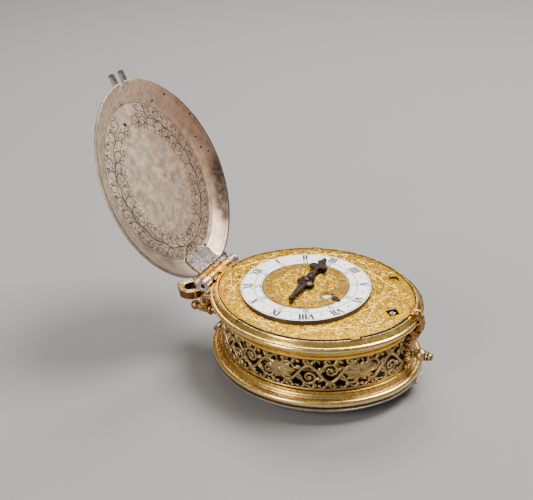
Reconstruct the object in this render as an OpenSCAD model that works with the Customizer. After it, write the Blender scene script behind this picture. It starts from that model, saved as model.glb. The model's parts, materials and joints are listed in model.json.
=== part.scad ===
// Oval clock-watch with a calendar dial: a pierced gilt case with two hinged silver covers,
// and a fusee and striking movement that swings out of the case on the front hinge.
// Millimetres. The origin is the centre of the flat face under the back cover, and +Z is up.
// The pendant is at -X, the catch and the finial are at +X.

/* [Case] */
// Length of the case rim round the dial
case_len = 80; // [74:1:86]
// Width of the case rim round the dial
case_wid = 69; // [67:0.5:70]
// Height of the upper moulding
upper_h = 8; // [7.6:0.2:10]
// Height of the pierced band
band_h = 14.6; // [13.6:0.2:18]
// Height of the lower moulding
lower_h = 5; // [4.8:0.2:7]
// Wall of the pierced band
band_wall = 1.2; // [1:0.1:1.6]
// How far the band lies inside the rim outline
band_inset = 1.3; // [1:0.1:1.8]
// How far the band is drawn in at its waist
band_waist = 0.3; // [0.1:0.1:0.5]
// Section radius of the upper bead
upper_bead_r = 1.15; // [0.8:0.05:1.3]
// How far the upper bead stands out from the rim outline
upper_bead_out = 2.6; // [2:0.1:3]
// Section radius of the lower bead
lower_bead_r = 1.45; // [1:0.05:1.6]
// How far the lower bead stands out from the rim outline
lower_bead_out = 3.15; // [2.6:0.05:3.6]
// Radius of the large piercings in the band
pierce_big_r = 1.9; // [1.2:0.1:2.2]
// Radius of the small piercings in the band
pierce_small_r = 1.2; // [0.8:0.1:1.4]
// Distance between piercings round the band
pierce_pitch = 5.2; // [5:0.2:8]

/* [Covers] */
// Thickness of the cover silver
cover_t = 0.8; // [0.6:0.1:1]
// Inner depth of the front cover
front_depth = 4.6; // [4.5:0.1:7]
// How far the front cover's rim stands out from the rim outline
front_rim_out = 1.75; // [1.2:0.05:2.2]
// Height of the closed front cover's rim above the dial plate
front_seat = 0.8; // [0.6:0.1:1.5]
// Width of the sloped border of both covers
border_w = 7.6; // [6:0.2:9]
// Overall height of the back cover
back_h = 7.3; // [6.4:0.1:9]
// How far the back cover's rim stands out from the rim outline
back_rim_out = 3; // [2.4:0.1:3.4]
// Thickness of the cover rims
rim_t = 1.2; // [0.8:0.1:1.6]
// Angle at which the front cover stands open
open_angle = 115; // [95:1:118]
// Length of the clasp prongs beyond the rim
prong_len = 4.2; // [3.6:0.2:5]
// Width of a clasp prong
prong_w = 2.2; // [1.6:0.1:2.6]

/* [Hinges] */
// Length of the hinge barrels, from end to end
hinge_len = 25.2; // [22:0.2:27]
// Outer radius of the hinge barrels
barrel_r = 2.2; // [1.9:0.05:2.3]
// Radius of the hinge pins
pin_r = 0.9; // [0.7:0.05:1.1]
// Distance of the hinge axes from the rim outline
hinge_out = 3.5; // [3.3:0.1:4]
// Depth of the front hinge axis below the dial plate's face
hinge_drop = 2; // [1.8:0.1:2.3]
// Length of the back cover's hinge
back_hinge_len = 13; // [12:0.2:15]
// Radius of the back hinge's barrels
back_barrel_r = 1.6; // [1.4:0.05:1.7]
// How far its axis stands out from the case rim
back_hinge_out = 2.3; // [2.2:0.05:2.6]
// Width of the middle barrel
mid_barrel_w = 5; // [4:0.2:6]
// Width of each outer barrel
outer_barrel_w = 4.7; // [4:0.1:5.5]

/* [Pendant and catches] */
// Height of the pendant stem below the dial plate's face
stem_drop = 21; // [20:0.5:21.5]
// Radius of the ball at the stem's end
ball_r = 2.1; // [1.6:0.1:2.4]
// Distance of the ball from the rim outline
ball_out = 16.3; // [15.8:0.1:17.5]
// Radius of the pendant loop's hole
loop_hole_r = 3.2; // [2.8:0.1:3.6]
// Width of the metal round the loop's hole
loop_wall = 2.2; // [1.8:0.1:2.4]
// Thickness of the pendant loop
loop_t = 3.4; // [2.8:0.1:3.6]
// Width of the catch hooks
hook_w = 3; // [2.2:0.1:3.2]
// Radius of the finial's large bulb
finial_r = 2.4; // [2:0.1:2.6]
// Length of the finial
finial_len = 8; // [7.6:0.2:9]

/* [Dial] */
// Thickness of the dial plate
dial_t = 1.2; // [1:0.1:1.3]
// How far the dial plate lies inside the rim outline
dial_inset = 1.15; // [1.05:0.05:1.4]
// Distance of the dial's centre from the case's centre, towards the pendant
dial_shift = 3.95; // [3:0.05:5]
// Outer radius of the chapter ring
ring_outer_r = 25.3; // [24:0.1:26]
// Inner radius of the chapter ring
ring_inner_r = 17.1; // [16.5:0.1:18]
// Height of the chapter ring
ring_h = 1.4; // [1:0.1:1.6]
// Thickness of the gilt lunar dial
lunar_t = 0.9; // [0.7:0.1:1]
// Height of the lunar dial's face above the dial plate
lunar_top = 1.75; // [1.6:0.05:2]
// Radius of the moon aperture
aperture_r = 2.6; // [2:0.1:3]
// Distance of the moon aperture from the dial's centre
aperture_at = 11.6; // [10:0.1:12.5]
// Length of the hour hand from the dial's centre
hand_len = 18.4; // [16:0.1:20]
// Length of the hour hand's tail
tail_len = 14.3; // [10:0.1:16]
// Side of the diamond-shaped setting hole
diamond_side = 4.2; // [3.8:0.1:4.4]

/* [Movement] */
// Space between the dial plate and the front plate
motion_gap = 3.2; // [3.2:0.1:3.6]
// Thickness of the frame plates
plate_t = 1.2; // [1:0.1:1.4]
// How far the frame plates lie inside the rim outline
plate_inset = 5; // [4.9:0.1:5.2]
// Height of the pillars between the plates
pillar_h = 9.8; // [9.8:0.1:10.4]
// Radius of the pillars' narrowest part
pillar_r = 1.1; // [0.8:0.1:1.2]
// Radius of the bell at its rim
bell_r = 25.2; // [25:0.1:26]
// Thickness of the bell
bell_t = 0.9; // [0.7:0.1:1]
// Height of the bell
bell_h = 5; // [4:0.2:5.2]
// Radius of the balance wheel
balance_r = 9; // [7:0.1:9.4]
// Radius of the going barrel
barrel_drum_r = 8.3; // [7.4:0.1:8.6]
// Radius of the strike barrel
strike_drum_r = 9; // [8:0.1:9.4]
// Radius of the fusee at its wide end
fusee_r = 7.5; // [6.8:0.1:7.8]
// Radius of the wheel arbors
arbor_r = 0.6; // [0.5:0.05:0.7]
// Running clearance of pivots and pins
fit = 0.05; // [0.03:0.01:0.08]

/* [Hidden] */
$fn = 72;
// clearance between faces that move past each other
gap = 0.3;
// small step that makes a cut pass a face
eps = 1;
// size of the cutting blocks, larger than the case
far = 120;

// The case outline is a four-centred oval on a 3-4-5 triangle.
half_len = case_len/2;
half_wid = case_wid/2;
end_r = 2*half_wid - half_len;
end_x = half_len - end_r;
side_y = 0.75*end_x;
side_r = end_r + 1.25*end_x;
seam_angle = atan2(3, 4);

// Heights above the rest face.
cover_gap = 0.1;
lower_z = back_h + cover_gap;
band_z = lower_z + lower_h;
upper_z = band_z + band_h;
dial_z = upper_z + upper_h;
ledge_z = dial_z - dial_t - fit;
front_plate_z = dial_z - dial_t - motion_gap - plate_t;
back_plate_z = front_plate_z - pillar_h - plate_t;

// Hinge lines.
hinge_x = -half_len - hinge_out;
back_hinge_x = -half_len - back_hinge_out;
front_axis_z = dial_z - hinge_drop;
back_axis_z = lower_z + hinge_drop;
inner_barrel_w = (hinge_len - mid_barrel_w - 2*outer_barrel_w - 4*gap)/2;
leaf_t = 0.8;
notch_x = -half_len - 0.4;

// Dial centre and what stands round it.
dial_c = [-dial_shift, 0];
hand_angle = 91;
moon_angle = -18.5;
diamond_c = [half_len - 7.2, -2.4];
crescent_c = [half_len - 15.3, half_wid - 13.6];
tab_angle = -50;

// Wheel sizes: [teeth, module]. The wheels have short teeth, the pinions long ones.
great_g = [44, 0.5];
second_p = [10, 0.5];
second_g = [36, 0.4];
contrate_p = [10, 0.4];
hour_ratio = [12, 48];
strike_g = [42, 0.5];
pinwheel_p = [10, 0.5];
pinwheel_g = [36, 0.4];
warn_p = [10, 0.4];
warn_g = [36, 0.35];
fly_p = [10, 0.35];
count_p = [8, 0.5];
count_g = [36, 0.5];
lunar_m = 0.35;
lunar_teeth = [59, 64];
lunar_leaves = 8;
contrate_teeth = 40;
crown_leaves = 8;
crown_teeth = 13;

function polar(c, r, a) = [c[0] + r*cos(a), c[1] + r*sin(a)];
function mesh(w, p) = (w[0]*w[1] + p[0]*p[1])/2;
function bearing(p, q) = atan2(q[1] - p[1], q[0] - p[0]);

// Places of the arbors in plan.
fusee_c = [-18, -9.5];
barrel_c = [3.5, 1];
second_dir = -40;
second_c = polar(fusee_c, mesh(great_g, second_p), second_dir);
contrate_dir = 10;
contrate_c = polar(second_c, mesh(second_g, contrate_p), contrate_dir);
crown_dir = 15;
verge_at = 14;
verge_c = polar(contrate_c, verge_at, crown_dir);
strike_c = [-13.5, 13];
pinwheel_dir = 25;
pinwheel_c = polar(strike_c, mesh(strike_g, pinwheel_p), pinwheel_dir);
warn_dir = -10;
warn_c = polar(pinwheel_c, mesh(pinwheel_g, warn_p), warn_dir);
fly_dir = -15;
fly_c = polar(warn_c, mesh(warn_g, fly_p), fly_dir);
count_dir = -100;
count_c = polar(strike_c, mesh(count_g, count_p), count_dir);
hammer_c = [14.5, 21];
lunar_dir = -60;
lunar_span = lunar_m*(lunar_leaves + lunar_teeth[1])/2;
lunar_c = polar(dial_c, lunar_span, lunar_dir);
hour_m = 2*norm(dial_c - fusee_c)/(hour_ratio[0] + hour_ratio[1]);
pillar_spots = [[-31.5, 2], [11, 25], [30.5, 5], [-2.5, -27], [19.5, -20.5]];
foot_spots = [[-30, 7], [-22, -17], [22, 16], [22, -16]];
cock_foot = polar(verge_c, 12.5, 10);

// Radius of the balance staff, and how far the lifting pins stand down from their wheel.
staff_r = 0.35;
pin_drop = 1.4;

// Levels of the wheels.
low_z = back_plate_z + plate_t + 0.6;
wheel_t = 1;
drum_z = low_z + wheel_t + 0.2;
drum_h = pillar_h - 4.2;
high_z = front_plate_z - 1.8;
high_t = 0.8;
warn_z = low_z + 2.2;
hour_z = front_plate_z + plate_t + gap;
hour_t = 0.7;
lunar_low_z = hour_z + hour_t + 0.2;
lunar_wheel_t = 0.6;
lunar_high_z = lunar_low_z + lunar_wheel_t + 0.2;
crown_z = low_z + 4.1;
crown_m = 0.255;
contrate_r = crown_m*contrate_teeth/2;
balance_z = back_plate_z - 2.2;
cock_z = back_plate_z - 4.2;
bell_z = cock_z - 0.6 - bell_h;

// Sweeps a profile, drawn as [distance outside the rim outline, height], round the oval.
module sweep() {
    for (m = [0, 1]) mirror([m, 0, 0]) intersection() {
        translate([end_x, 0]) rotate_extrude() translate([end_r, 0]) children();
        translate([end_x, 0, -far]) linear_extrude(2*far) polygon([[0, 0], [80, 60], [80, -60]]);
    }
    for (m = [0, 1]) mirror([0, m, 0]) intersection() {
        translate([0, -side_y]) rotate_extrude() translate([side_r, 0]) children();
        translate([0, -side_y, -far]) linear_extrude(2*far) polygon([[0, 0], [80, 60], [-80, 60]]);
    }
}

// The oval outline as a flat shape, grown by d.
module oval(d) {
    for (m = [0, 1]) mirror([m, 0]) intersection() {
        translate([end_x, 0]) circle(end_r + d);
        translate([end_x, 0]) polygon([[0, 0], [80, 60], [80, -60]]);
    }
    for (m = [0, 1]) mirror([0, m]) intersection() {
        translate([0, -side_y]) circle(side_r + d);
        translate([0, -side_y]) polygon([[0, 0], [80, 60], [-80, 60]]);
    }
    // core that laps all four pieces
    square([2*(end_x + 0.8*(end_r + d) - 1), 2*(0.6*(end_r + d) - 1)], center = true);
}

module oval_plate(d, z, t) {
    translate([0, 0, z]) linear_extrude(t) oval(d);
}

module at(c, z) {
    translate([c[0], c[1], z]) children();
}

// A cylinder along Y between two places.
module rod_y(x, z, y0, y1, r) {
    translate([x, y1, z]) rotate([90, 0, 0]) cylinder(h = y1 - y0, r = r);
}

module block(x0, x1, y0, y1, z0, z1) {
    translate([x0, y0, z0]) cube([x1 - x0, y1 - y0, z1 - z0]);
}

// Involute teeth with straight roots.
function inv(a) = tan(a) - a*PI/180;
function flank(n, m, add, ded, slack) =
    let (rp = n*m/2, rb = rp*cos(20), low = max(rb, rp - ded*m), high = rp + add*m)
    [for (i = [0:2]) let (q = low + (high - low)*i/2, a = acos(min(1, rb/q)))
        [q, 90/n*(1 - slack) + (inv(20) - inv(a))*180/PI]];
function gear_points(n, m, add, ded, slack) =
    let (f = flank(n, m, add, ded, slack), root = n*m/2 - ded*m,
         foot = root < f[0][0] - 0.001 ? [[root, f[0][1]]] : [],
         side = concat(foot, f), last = len(side) - 1)
    [for (k = [0:n - 1], i = [0:2*last + 1])
        let (p = i <= last ? [side[i][0], -side[i][1]] : [side[2*last + 1 - i][0], side[2*last + 1 - i][1]])
        [p[0]*cos(p[1] + 360*k/n), p[0]*sin(p[1] + 360*k/n)]];

module wheel_teeth(g, phase) {
    rotate(phase) polygon(gear_points(g[0], g[1], 0.45, 1.3, 0.14));
}

module leaves(g, phase) {
    rotate(phase) polygon(gear_points(g[0], g[1], 1, 0.8, 0.14));
}

// A crossed-out wheel: teeth, a rim, a hub and arms.
module crossed_wheel(g, phase, t, arms = 4, hub = 1.8) {
    inner = g[0]*g[1]/2 - 2.6*g[1] - 0.4;
    linear_extrude(t) {
        difference() {
            wheel_teeth(g, phase);
            circle(inner);
        }
        circle(hub);
        for (i = [0:arms - 1]) rotate(phase + 360*i/arms) translate([0, -0.4]) square([inner + 0.2, 0.8]);
    }
}

module pinion(g, phase, t) {
    linear_extrude(t) leaves(g, phase);
}

// Phase that puts a tooth on the line to the other wheel, or a gap.
function tooth_to(p, q) = bearing(p, q);
function gap_to(p, q, n) = bearing(p, q) + 180/n;

// An arbor that runs from plate to plate, with thinner pivots in them.
pivot_r = arbor_r - 0.2;
module arbor(c) {
    at(c, back_plate_z + plate_t + fit) cylinder(h = pillar_h - 2*fit, r = arbor_r);
    at(c, back_plate_z + 0.1) cylinder(h = pillar_h + 2*plate_t - 0.2, r = pivot_r);
}

pivot_spots = [second_c, contrate_c, pinwheel_c, warn_c, fly_c];

// Case
module moulding_upper_profile() {
    waist = -band_inset + 0.3;
    bead_z = dial_z - 2.75;
    polygon([[-0.6, dial_z], [0.05, dial_z], [0.2, dial_z - 0.25], [1.2, dial_z - 1.25],
             [1.5, dial_z - 1.6], [1.5, bead_z - 0.9], [0.4, bead_z - 1.4], [-0.4, bead_z - 2.4],
             [waist, upper_z + 0.9],
             [waist + 0.4, upper_z + 0.6], [waist + 0.4, upper_z], [-band_inset - band_wall, upper_z],
             [-2.4, upper_z + 0.6], [-2.4, ledge_z], [-0.6, ledge_z]]);
    translate([upper_bead_out - upper_bead_r, bead_z]) circle(upper_bead_r, $fn = 48);
}

module rim_notch(angle, w) {
    translate([0, side_y]) rotate(angle) translate([side_r - dial_inset - eps, -w/2, ledge_z + fit])
        cube([eps + dial_inset + 0.1, w, dial_t + eps]);
}

module upper_moulding() {
    color("gold") difference() {
        sweep() moulding_upper_profile();
        // flat that the hinge stands against, and the way through for the movement's strap
        block(-far, notch_x, -hinge_len/2 - gap, hinge_len/2 + gap, dial_z - 5, dial_z + eps);
        block(-far, -half_len + 3, -mid_barrel_w/2 - gap, mid_barrel_w/2 + gap, dial_z - 2.2, dial_z + eps);
        rim_notch(tab_angle, 3.4);
        mirror([0, 1, 0]) mirror([1, 0, 0]) rim_notch(-71, 3.4);
        // slit that lets a tool lift the dial plate
        translate([0, side_y]) rotate(-113.5) translate([side_r - 0.8, -0.4, dial_z - 1]) cube([2, 0.8, 2]);
    }
}

module lower_moulding() {
    bead_z = lower_z + lower_bead_r + 0.2;
    color("goldenrod") difference() {
        sweep() {
            polygon([[-band_inset - band_wall, band_z], [-band_inset + 0.7, band_z],
                     [-band_inset + 0.7, band_z - 0.5], [-band_inset + 0.3, band_z - 0.6],
                     [-band_inset + 0.6, band_z - 1.3],
                     [0.3, bead_z + 1], [lower_bead_out - lower_bead_r, bead_z + 1],
                     [lower_bead_out - lower_bead_r, lower_z], [-2.6, lower_z], [-2.6, band_z - 0.6]]);
            translate([lower_bead_out - lower_bead_r, bead_z]) circle(lower_bead_r, $fn = 48);
        }
        block(-far, notch_x, -back_hinge_len/2 - gap, back_hinge_len/2 + gap, lower_z - eps, lower_z + 4.5);
    }
}

// Piercings run in a wave: a large one above, then a large one below.
module piercings(radius, half_angle) {
    count = floor(radius*half_angle*PI/180/pierce_pitch);
    mid_z = band_z + band_h/2;
    step = pierce_pitch/radius*180/PI;
    for (i = [-count:count]) rotate(i*step) {
        side = i % 2 == 0 ? 1 : -1;
        translate([radius - 4, 0, mid_z + side*band_h*0.19]) rotate([0, 90, 0])
            cylinder(h = 8, r = pierce_big_r, $fn = 24);
        translate([radius - 4, 0, mid_z - side*band_h*0.26]) rotate([0, 90, 0])
            cylinder(h = 8, r = pierce_small_r, $fn = 24);
    }
}

module band_profile() {
    mid_z = band_z + band_h/2;
    outer = -band_inset;
    inner = outer - band_wall;
    polygon([[inner, band_z], [outer, band_z], [outer - band_waist, mid_z],
             [outer, upper_z], [inner, upper_z]]);
}

module case_band() {
    post_x = end_r - band_inset - band_waist - 0.15;
    color("darkgoldenrod") {
        for (m = [0, 1]) mirror([m, 0, 0]) intersection() {
            translate([end_x, 0]) difference() {
                rotate_extrude() translate([end_r, 0]) band_profile();
                for (s = [-1, 1]) rotate(s*22.5) piercings(end_r, 11.5);
            }
            translate([end_x, 0, -far]) linear_extrude(2*far) polygon([[0, 0], [80, 60], [80, -60]]);
        }
        for (m = [0, 1]) mirror([0, m, 0]) intersection() {
            translate([0, -side_y]) difference() {
                rotate_extrude() translate([side_r, 0]) band_profile();
                rotate(90) piercings(side_r, 50.4);
            }
            translate([0, -side_y, -far]) linear_extrude(2*far) polygon([[0, 0], [80, 60], [-80, 60]]);
        }
        // posts inside the wall that lap the four pieces at their seams
        for (mx = [0, 1], my = [0, 1]) mirror([mx, 0, 0]) mirror([0, my, 0])
            translate([end_x, 0, 0]) rotate(seam_angle)
                block(post_x - band_wall/2, post_x, -band_wall/2, band_wall/2, band_z, upper_z);
    }
}

// Hinge parts. Each barrel is drawn from y0 to y1 and mirrored where it comes in pairs.
inner_y0 = mid_barrel_w/2 + gap;
inner_y1 = inner_y0 + inner_barrel_w;
outer_y0 = inner_y1 + gap;
outer_y1 = hinge_len/2;
back_outer_w = 3.2;
back_y1 = back_hinge_len/2 - back_outer_w - gap;
back_pin_r = 0.7;

module case_hinge() {
    color("peru") for (m = [0, 1]) mirror([0, m, 0]) difference() {
        union() {
            rod_y(hinge_x, front_axis_z, inner_y0, inner_y1, barrel_r);
            block(hinge_x, notch_x, inner_y0, inner_y1, front_axis_z - barrel_r, front_axis_z);
            block(notch_x - leaf_t, notch_x, inner_y0, inner_y1, front_axis_z - 2.8, front_axis_z + 1.2);
        }
        rod_y(hinge_x, front_axis_z, 0, hinge_len, pin_r + fit);
    }
}

module back_case_hinge() {
    color("peru") difference() {
        union() {
            rod_y(back_hinge_x, back_axis_z, -back_y1, back_y1, back_barrel_r);
            block(back_hinge_x, notch_x, -back_y1, back_y1, back_axis_z, back_axis_z + back_barrel_r);
        }
        rod_y(back_hinge_x, back_axis_z, -hinge_len, hinge_len, back_pin_r + fit);
    }
}

module front_hinge_pin() {
    color("silver") rod_y(hinge_x, front_axis_z, -hinge_len/2 + 0.4, hinge_len/2 - 0.4, pin_r);
}

module back_hinge_pin() {
    end_y = back_hinge_len/2 - 0.3;
    color("silver") rod_y(back_hinge_x, back_axis_z, -end_y, end_y, back_pin_r);
}

// Pendant: a bracket on the band, a turned stem with a ball, and ears that hold the loop.
stem_z = dial_z - stem_drop;
loop_axis = [-half_len - 10.4, dial_z - 14.8];
loop_z = loop_axis[1] + 1.1;
loop_x = loop_axis[0] - loop_hole_r - loop_wall - 1.8;
ear_r = 1.5;
ear_y0 = 1.35;
ear_y1 = 2.6;

// A plate that lies on the band and follows its curve.
module band_patch(x0, x1, half_w, t) {
    intersection() {
        sweep() translate([-band_inset, band_z + 0.3]) square([t, band_h - 0.6]);
        block(x0, x1, -half_w, half_w, band_z, upper_z);
    }
}

module pendant_stem() {
    ball_x = -half_len - ball_out;
    color("peru") difference() {
        union() {
            band_patch(-far, 0, 4.5, 1.2);
            translate([0, 0, stem_z]) rotate([0, -90, 0]) rotate_extrude() polygon([
                [0, half_len - band_inset - 0.2], [1.9, half_len - band_inset + 0.8], [1.4, half_len + 3],
                [1.5, half_len + 7.6], [2.6, half_len + 8], [2.6, half_len + 8.8], [2.1, half_len + 9.2],
                [2, -ball_x - ball_r - 0.3], [1.4, -ball_x - ball_r + 0.5], [0, -ball_x]]);
            translate([ball_x, 0, stem_z]) sphere(ball_r);
            for (m = [0, 1]) mirror([0, m, 0]) {
                rod_y(loop_axis[0], loop_axis[1], ear_y0, ear_y1, ear_r);
                block(loop_axis[0] - ear_r, loop_axis[0] + ear_r, ear_y0, ear_y1, stem_z, loop_axis[1]);
            }
            block(loop_axis[0] - ear_r, loop_axis[0] + ear_r, -ear_y1, ear_y1,
                  stem_z, loop_axis[1] - ear_r - 1);
            // upper arm back to the bracket
            for (m = [0, 1]) mirror([0, m, 0])
                block(loop_axis[0], -half_len + band_inset - 0.4, ear_y0, ear_y1,
                      loop_axis[1] + 0.2, loop_axis[1] + 1.4);
        }
        rod_y(loop_axis[0], loop_axis[1], -ear_y1 - eps, ear_y1 + eps, pin_r);
    }
}

module pendant_pin() {
    color("peru") rod_y(loop_axis[0], loop_axis[1], -ear_y1, ear_y1, pin_r - fit);
}

module pendant_loop() {
    color("darkgoldenrod") difference() {
        union() {
            translate([loop_x, 0, loop_z - loop_t/2]) linear_extrude(loop_t) {
                circle(loop_hole_r + loop_wall);
                translate([-loop_hole_r - loop_wall + 0.4, 0]) rotate(45) square(1.45*loop_wall, center = true);
            }
            block(loop_x + loop_hole_r + 1, loop_axis[0], -ear_y0 + 0.15, ear_y0 - 0.15,
                  loop_axis[1] - 0.4, loop_axis[1] + 1.2);
            rod_y(loop_axis[0], loop_axis[1], -ear_y0 + 0.15, ear_y0 - 0.15, ear_r + 0.2);
        }
        at([loop_x, 0], loop_z - loop_t) cylinder(h = 2*loop_t, r = loop_hole_r);
        rod_y(loop_axis[0], loop_axis[1], -ear_y1, ear_y1, pin_r + 0.02);
    }
}

// Catch: a curved hook over the upper moulding, on lugs of the strap on the band.
lug_y0 = hook_w/2 + 0.15;
lug_y1 = lug_y0 + 1;
catch_pin_r = 0.5;
catch_x = half_len + upper_bead_out - 0.4;
catch_z = dial_z - 7.6;
knuckle_r = 1.2;

module catch_strap() {
    mid_z = band_z + band_h/2;
    color("peru") {
        difference() {
            band_patch(0, far, 3.6, 2);
            for (z = [-5, -2.5, 0, 2.5, 5], m = [0, 1]) mirror([0, m, 0])
                translate([half_len - 4, 3.9, mid_z + z]) rotate([0, 90, 0]) cylinder(h = 8, r = 0.9);
        }
        for (m = [0, 1]) mirror([0, m, 0]) {
            rod_y(catch_x, catch_z, lug_y0, lug_y1, knuckle_r);
            block(half_len - 0.2, catch_x, lug_y0, lug_y1, catch_z - knuckle_r - 1.4, catch_z + knuckle_r);
        }
        rod_y(catch_x, catch_z, -lug_y1, lug_y1, catch_pin_r);
    }
}

module front_catch() {
    color("rosybrown") translate([catch_x, 0, catch_z]) rotate([90, 0, 0]) difference() {
        union() {
            translate([0, 0, -hook_w/2]) linear_extrude(hook_w) polygon([
                [-0.8, -0.8], [1.7, 1.1], [2, 4.1], [1.4, 6.8], [-0.2, 8.6], [-2, 9.2],
                [-3.1, 8.9], [-3.1, 8.1], [-1.9, 8.3], [-0.5, 7.8], [0.6, 6.4], [1.1, 4],
                [0.8, 1.4], [-0.8, 0.7]]);
            translate([0, 0, -hook_w/2]) cylinder(h = hook_w, r = knuckle_r);
        }
        translate([0, 0, -hook_w]) cylinder(h = 2*hook_w, r = catch_pin_r + fit);
    }
}

module finial() {
    x0 = half_len + 2 - band_inset;
    color("goldenrod") translate([x0, 0, band_z + 0.36*band_h]) rotate([0, 90, 0]) {
        rotate_extrude() polygon([[0, 0], [1.8, 0], [1.8, 0.5], [1.1, 0.9], [1.1, 1.6], [0, 1.6]]);
        translate([0, 0, 0.7 + finial_r]) sphere(finial_r);
        translate([0, 0, finial_len - 3.1]) cylinder(h = 0.8, r = 1.6);
        translate([0, 0, finial_len - 1.6]) sphere(1.4);
        translate([0, 0, finial_len - 0.6]) cylinder(h = 0.6, r = 0.5);
    }
}

// Bell and its fixing in the bottom of the case.
module bell() {
    color("silver") translate([0, 0, bell_z]) rotate_extrude() polygon([
        [1.3, 0], [bell_r - 4.4, 0], [bell_r - 1.8, 1.4], [bell_r - 0.5, 3], [bell_r, bell_h],
        [bell_r - bell_t, bell_h], [bell_r - bell_t - 0.5, 3.2], [bell_r - bell_t - 1.6, 1.9],
        [bell_r - bell_t - 3.8, bell_t], [1.3, bell_t]]);
}

module bell_bridge() {
    color("goldenrod") difference() {
        intersection() {
            oval_plate(-2.6, bell_z - 1, 1);
            block(-2.8, 2.8, -far, far, 0, far);
        }
        at([0, 0], 0) cylinder(h = far, r = 1.3);
    }
}

module bell_screw() {
    color("steelblue") {
        at([0, 0], bell_z - 1.8) cylinder(h = 0.8, r = 2.2);
        at([0, 0], bell_z - 1.8) cylinder(h = bell_t + 2.8, r = 1.25);
        at([0, 0], bell_z + bell_t) cylinder(h = 1, r = 2.4);
    }
}

// Covers. A cover's section is a rim, a sloping border that flattens out, and a flat floor.
wall_steps = 4;
function border(d, z, w, h, lift) =
    [for (i = [0:wall_steps]) [d - w*i/wall_steps, z + lift + h*(1 - pow(1 - i/wall_steps, 1.6))]];
function reversed(v) = [for (i = [len(v) - 1:-1:0]) v[i]];

// rim_d and rim_z give the rim's outer edge and its open face; the floor is up for side 1, down for -1.
module dish(rim_d, rim_z, depth, side) {
    inner_d = rim_d - 0.8;
    floor_d = inner_d - border_w;
    skin = cover_t*1.15;
    translate([0, 0, rim_z]) mirror([0, 0, side > 0 ? 0 : 1]) {
        sweep() polygon(concat(
            [[rim_d, 0], [rim_d, 0.6*rim_t], [rim_d - 0.4, rim_t]],
            [for (p = border(inner_d, 0, border_w, depth, skin)) if (p[1] > rim_t + 0.1) p],
            [[floor_d - 0.6, depth + skin], [floor_d - 0.6, depth]],
            reversed(border(inner_d, 0, border_w, depth, 0))));
        oval_plate(floor_d - 0.6, depth, skin);
    }
}

front_rim_z = dial_z + front_seat;
back_rim_z = back_h;
back_depth = back_h - cover_t*1.15;
cover_cut_x = -half_len + 0.8;
inlay_w = 15;
prong_y1 = hook_w/2 + gap + prong_w;
prong_z = 0.1;
prong_t = 1.4;
prong_seat = 1.4;
thumb_w = 7;

module opened() {
    translate([hinge_x, 0, front_axis_z]) rotate([0, -open_angle, 0])
        translate([-hinge_x, 0, -front_axis_z]) children();
}

// Leaf-shaped plate that lines the cover behind the hinge.
module cover_inlay(rise) {
    x = cover_cut_x;
    translate([0, inlay_w/2, rise]) rotate([90, 0, 0]) linear_extrude(inlay_w) polygon([
        [x - 0.4, 0.1], [x - 0.4, 0.9], [x + 1.2, 1.7], [x + 3.4, 2.9], [x + 6.2, 4.1], [x + 6.2, 3.5],
        [x + 3.4, 2.2], [x + 1.2, 0.8], [x, 0.1]]);
}

// Notch for the hook, and the seat of the prongs beside it.
module cover_cuts(rim_x) {
    block(-far, cover_cut_x, -far, far, -far, far);
    block(rim_x - 3.4, far, -hook_w/2 - gap, hook_w/2 + gap, -eps, prong_z + prong_t + 2*gap);
    block(rim_x - prong_seat, far, -prong_y1, prong_y1, prong_z, prong_z + prong_t);
}

module front_cover() {
    color("silver") opened() difference() {
        dish(front_rim_out, front_rim_z, front_depth, 1);
        translate([0, 0, front_rim_z]) cover_cuts(half_len + front_rim_out);
        translate([0, 0, front_axis_z]) cover_inlay(hinge_drop + front_seat);
    }
}

// Leaf and barrels of a cover; z is measured from the axis and grows away from the case.
module cover_leaf(rise, x, r, y0, y1, hole_r) {
    leaf_z = hinge_drop + gap + 0.2;
    difference() {
        union() {
            for (m = [0, 1]) mirror([0, m, 0]) {
                rod_y(x, 0, y0, y1, r);
                block(x - 1, x + 1.4, y0, y1, 0, leaf_z + leaf_t/2);
            }
            block(x - 1, cover_cut_x - 0.2, -y1, y1, leaf_z, leaf_z + leaf_t);
            block(cover_cut_x - 0.8, cover_cut_x, -inlay_w/2, inlay_w/2, leaf_z, rise + 1);
            cover_inlay(rise);
        }
        rod_y(x, 0, -hinge_len, hinge_len, hole_r);
    }
}

module front_cover_hinge() {
    color("silver") opened() translate([0, 0, front_axis_z])
        cover_leaf(hinge_drop + front_seat, hinge_x, barrel_r, outer_y0, outer_y1, pin_r + fit);
}

module back_cover_hinge() {
    y0 = back_y1 + gap;
    color("silver") translate([0, 0, back_axis_z]) mirror([0, 0, 1])
        cover_leaf(hinge_drop + cover_gap, back_hinge_x, back_barrel_r, y0, back_hinge_len/2, back_pin_r + fit);
}

module front_clasp() {
    rim_x = half_len + front_rim_out;
    tip_x = rim_x + prong_len - prong_w/2;
    color("silver") opened() translate([0, 0, front_rim_z]) for (m = [0, 1]) mirror([0, m, 0]) {
        block(rim_x - prong_seat, tip_x, prong_y1 - prong_w, prong_y1, prong_z, prong_z + prong_t);
        at([tip_x, prong_y1 - prong_w/2], prong_z) cylinder(h = prong_t, r = prong_w/2);
    }
}

module back_cover() {
    rim_x = half_len + back_rim_out;
    color("silver") {
        difference() {
            dish(back_rim_out, back_rim_z, back_depth, -1);
            block(-far, cover_cut_x, -far, far, -far, far);
            translate([0, 0, back_axis_z]) mirror([0, 0, 1]) cover_inlay(hinge_drop + cover_gap);
        }
        // lip for a thumbnail
        block(rim_x - 1, rim_x + 0.8, -thumb_w/2, thumb_w/2, back_rim_z - 1, back_rim_z - 0.1);
    }
}

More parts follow.
